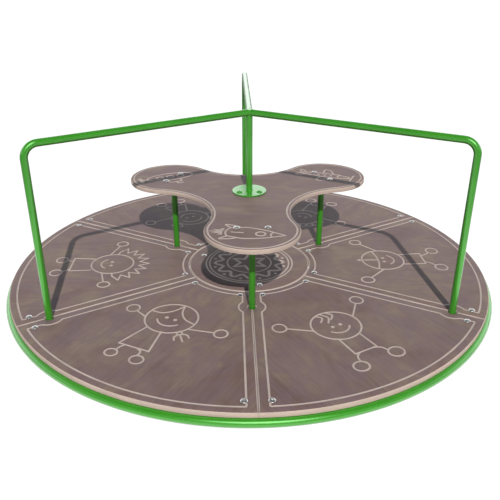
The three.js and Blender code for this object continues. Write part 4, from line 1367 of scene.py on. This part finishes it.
# ------------------------------------------------------------------ floor, world, sun and camera
# half a millimetre below the flange's foot, so the two faces don't share a plane
me = raw_mesh("floor", [(-30000, -30000, -0.5), (30000, -30000, -0.5), (30000, 30000, -0.5), (-30000, 30000, -0.5)], [(0, 1, 2, 3)])
floor = bpy.data.objects.new("floor", me)
bpy.context.scene.collection.objects.link(floor)
fm, nt, fb = new_mat("pale_floor")
out = next(n for n in nt.nodes if n.type == "OUTPUT_MATERIAL")
fb.inputs["Base Color"].default_value = (0.9, 0.9, 0.9, 1)
fb.inputs["Roughness"].default_value = 0.9
fb.inputs["Specular IOR Level"].default_value = 0.0
em = node(nt, "ShaderNodeEmission")
em.inputs["Color"].default_value = (1, 1, 1, 1)
lp = node(nt, "ShaderNodeLightPath")
# the floor glows a little so that it stays pale, less so for the light it throws on the underside
away = nt.nodes.new("ShaderNodeVectorMath")
away.operation = "LENGTH"
link(nt, node(nt, "ShaderNodeNewGeometry").outputs["Position"], away.inputs[0])
near = nt.nodes.new("ShaderNodeMapRange")
near.interpolation_type = "SMOOTHSTEP"
near.inputs["From Min"].default_value = 1.5
near.inputs["From Max"].default_value = 2.9
near.inputs["To Min"].default_value = 1.15
near.inputs["To Max"].default_value = 0.10
link(nt, away.outputs["Value"], near.inputs["Value"])
shiny = math_node(nt, "MULTIPLY", lp.outputs["Is Glossy Ray"], near.outputs[0])
glow = math_node(nt, "MULTIPLY_ADD", lp.outputs["Is Camera Ray"], 0.96, 0.16)
glow = math_node(nt, "ADD", glow, math_node(nt, "MULTIPLY", lp.outputs["Is Diffuse Ray"], 0.58))
link(nt, math_node(nt, "ADD", glow, shiny), em.inputs["Strength"])
mix = node(nt, "ShaderNodeMixShader")
mix.inputs[0].default_value = 0.16
link(nt, em.outputs[0], mix.inputs[1])
link(nt, fb.outputs[0], mix.inputs[2])
geo = node(nt, "ShaderNodeNewGeometry")
clear = node(nt, "ShaderNodeBsdfTransparent")
both = node(nt, "ShaderNodeMixShader")
link(nt, geo.outputs["Backfacing"], both.inputs[0])
link(nt, mix.outputs[0], both.inputs[1])
link(nt, clear.outputs[0], both.inputs[2])
link(nt, both.outputs[0], out.inputs[0])
me.materials.append(fm)

world = bpy.data.worlds.new("studio")
bpy.context.scene.world = world
world.use_nodes = True
nt = world.node_tree
nt.nodes.clear()
wo = nt.nodes.new("ShaderNodeOutputWorld")
bg = nt.nodes.new("ShaderNodeBackground")
lp = nt.nodes.new("ShaderNodeLightPath")
tc = nt.nodes.new("ShaderNodeTexCoord")
sep = nt.nodes.new("ShaderNodeSeparateXYZ")
nt.links.new(tc.outputs["Generated"], sep.inputs[0])
# what shiny surfaces see: a bright band low behind the object, a dimmer sky above
low = ramp(nt, sep.outputs[2], [(0.0, (0.10, 0.10, 0.10)), (0.08, (0.20, 0.20, 0.20)), (0.14, (0.80, 0.80, 0.80)), (0.26, (0.78, 0.78, 0.78)), (0.36, (0.58, 0.58, 0.58)), (0.44, (0.58, 0.58, 0.58)), (0.60, (0.14, 0.14, 0.14)), (0.8, (0.07, 0.07, 0.07))])
back = ramp(nt, math_node(nt, "MULTIPLY_ADD", sep.outputs[1], 0.5, 0.5), [(0.30, (0.30, 0.30, 0.30)), (0.72, (1, 1, 1))])
gl = mix_col(nt, 1.0, low, back, "MULTIPLY")
gl = mix_col(nt, 1.0, gl, (2.5, 2.53, 2.6), "MULTIPLY")
# the key light as shiny surfaces see it: a round soft box where the sun stands
key = nt.nodes.new("ShaderNodeVectorMath")
key.operation = "DOT_PRODUCT"
key.inputs[1].default_value = tuple(Vector((0.106, -1.10, 1.0)).normalized())
nt.links.new(tc.outputs["Generated"], key.inputs[0])
soft = ramp(nt, key.outputs["Value"], [(0.925, (0, 0, 0)), (0.972, (1, 1, 1))])
gl = mix_col(nt, 1.0, gl, mix_col(nt, 1.0, soft, (4.6, 4.6, 4.5), "MULTIPLY"), "ADD")
dif = mix_col(nt, 1.0, (0.165, 0.178, 0.232), ramp(nt, sep.outputs[2], [(0.0, (0.55, 0.55, 0.55)), (1.0, (1.23, 1.23, 1.23))]), "MULTIPLY")
c = mix_col(nt, lp.outputs["Is Glossy Ray"], dif, gl)
c = mix_col(nt, lp.outputs["Is Camera Ray"], c, (1.0, 1.0, 1.0))
nt.links.new(c, bg.inputs["Color"])
bg.inputs["Strength"].default_value = 1.0
nt.links.new(bg.outputs[0], wo.inputs[0])

sun = bpy.data.lights.new("sun", "SUN")
sun.energy = 3.66
sun.angle = rad(0.7)
sun.color = (1.0, 0.965, 0.90)
so = bpy.data.objects.new("sun", sun)
so.visible_glossy = False
so.rotation_mode = "QUATERNION"
so.rotation_quaternion = Vector((-0.106, 1.10, -1.0)).to_track_quat("-Z", "Y")
bpy.context.scene.collection.objects.link(so)

cam = bpy.data.cameras.new("camera")
cam.lens = 45.0635
cam.sensor_width = 36.0
cam.clip_start, cam.clip_end = 0.05, 100
co = bpy.data.objects.new("camera", cam)
r_, u_, f_ = Vector((0.99955078, -0.02996429, 0.00060830)), Vector((0.01236061, 0.43064608, 0.90243624)), Vector((0.02730282, 0.90202333, -0.43082300))
rot = Matrix(((r_.x, u_.x, -f_.x), (r_.y, u_.y, -f_.y), (r_.z, u_.z, -f_.z)))
co.matrix_world = Matrix.Translation((-0.0712814, -2.4669841, 1.2384938 + DECK_TOP * MM)) @ rot.to_4x4()
bpy.context.scene.collection.objects.link(co)
bpy.context.scene.camera = co

bpy.context.scene.view_settings.view_transform = "Standard"
bpy.context.scene.view_settings.look = "None"
bpy.context.scene.view_settings.exposure = 0.0
bpy.context.scene.view_settings.gamma = 1.0
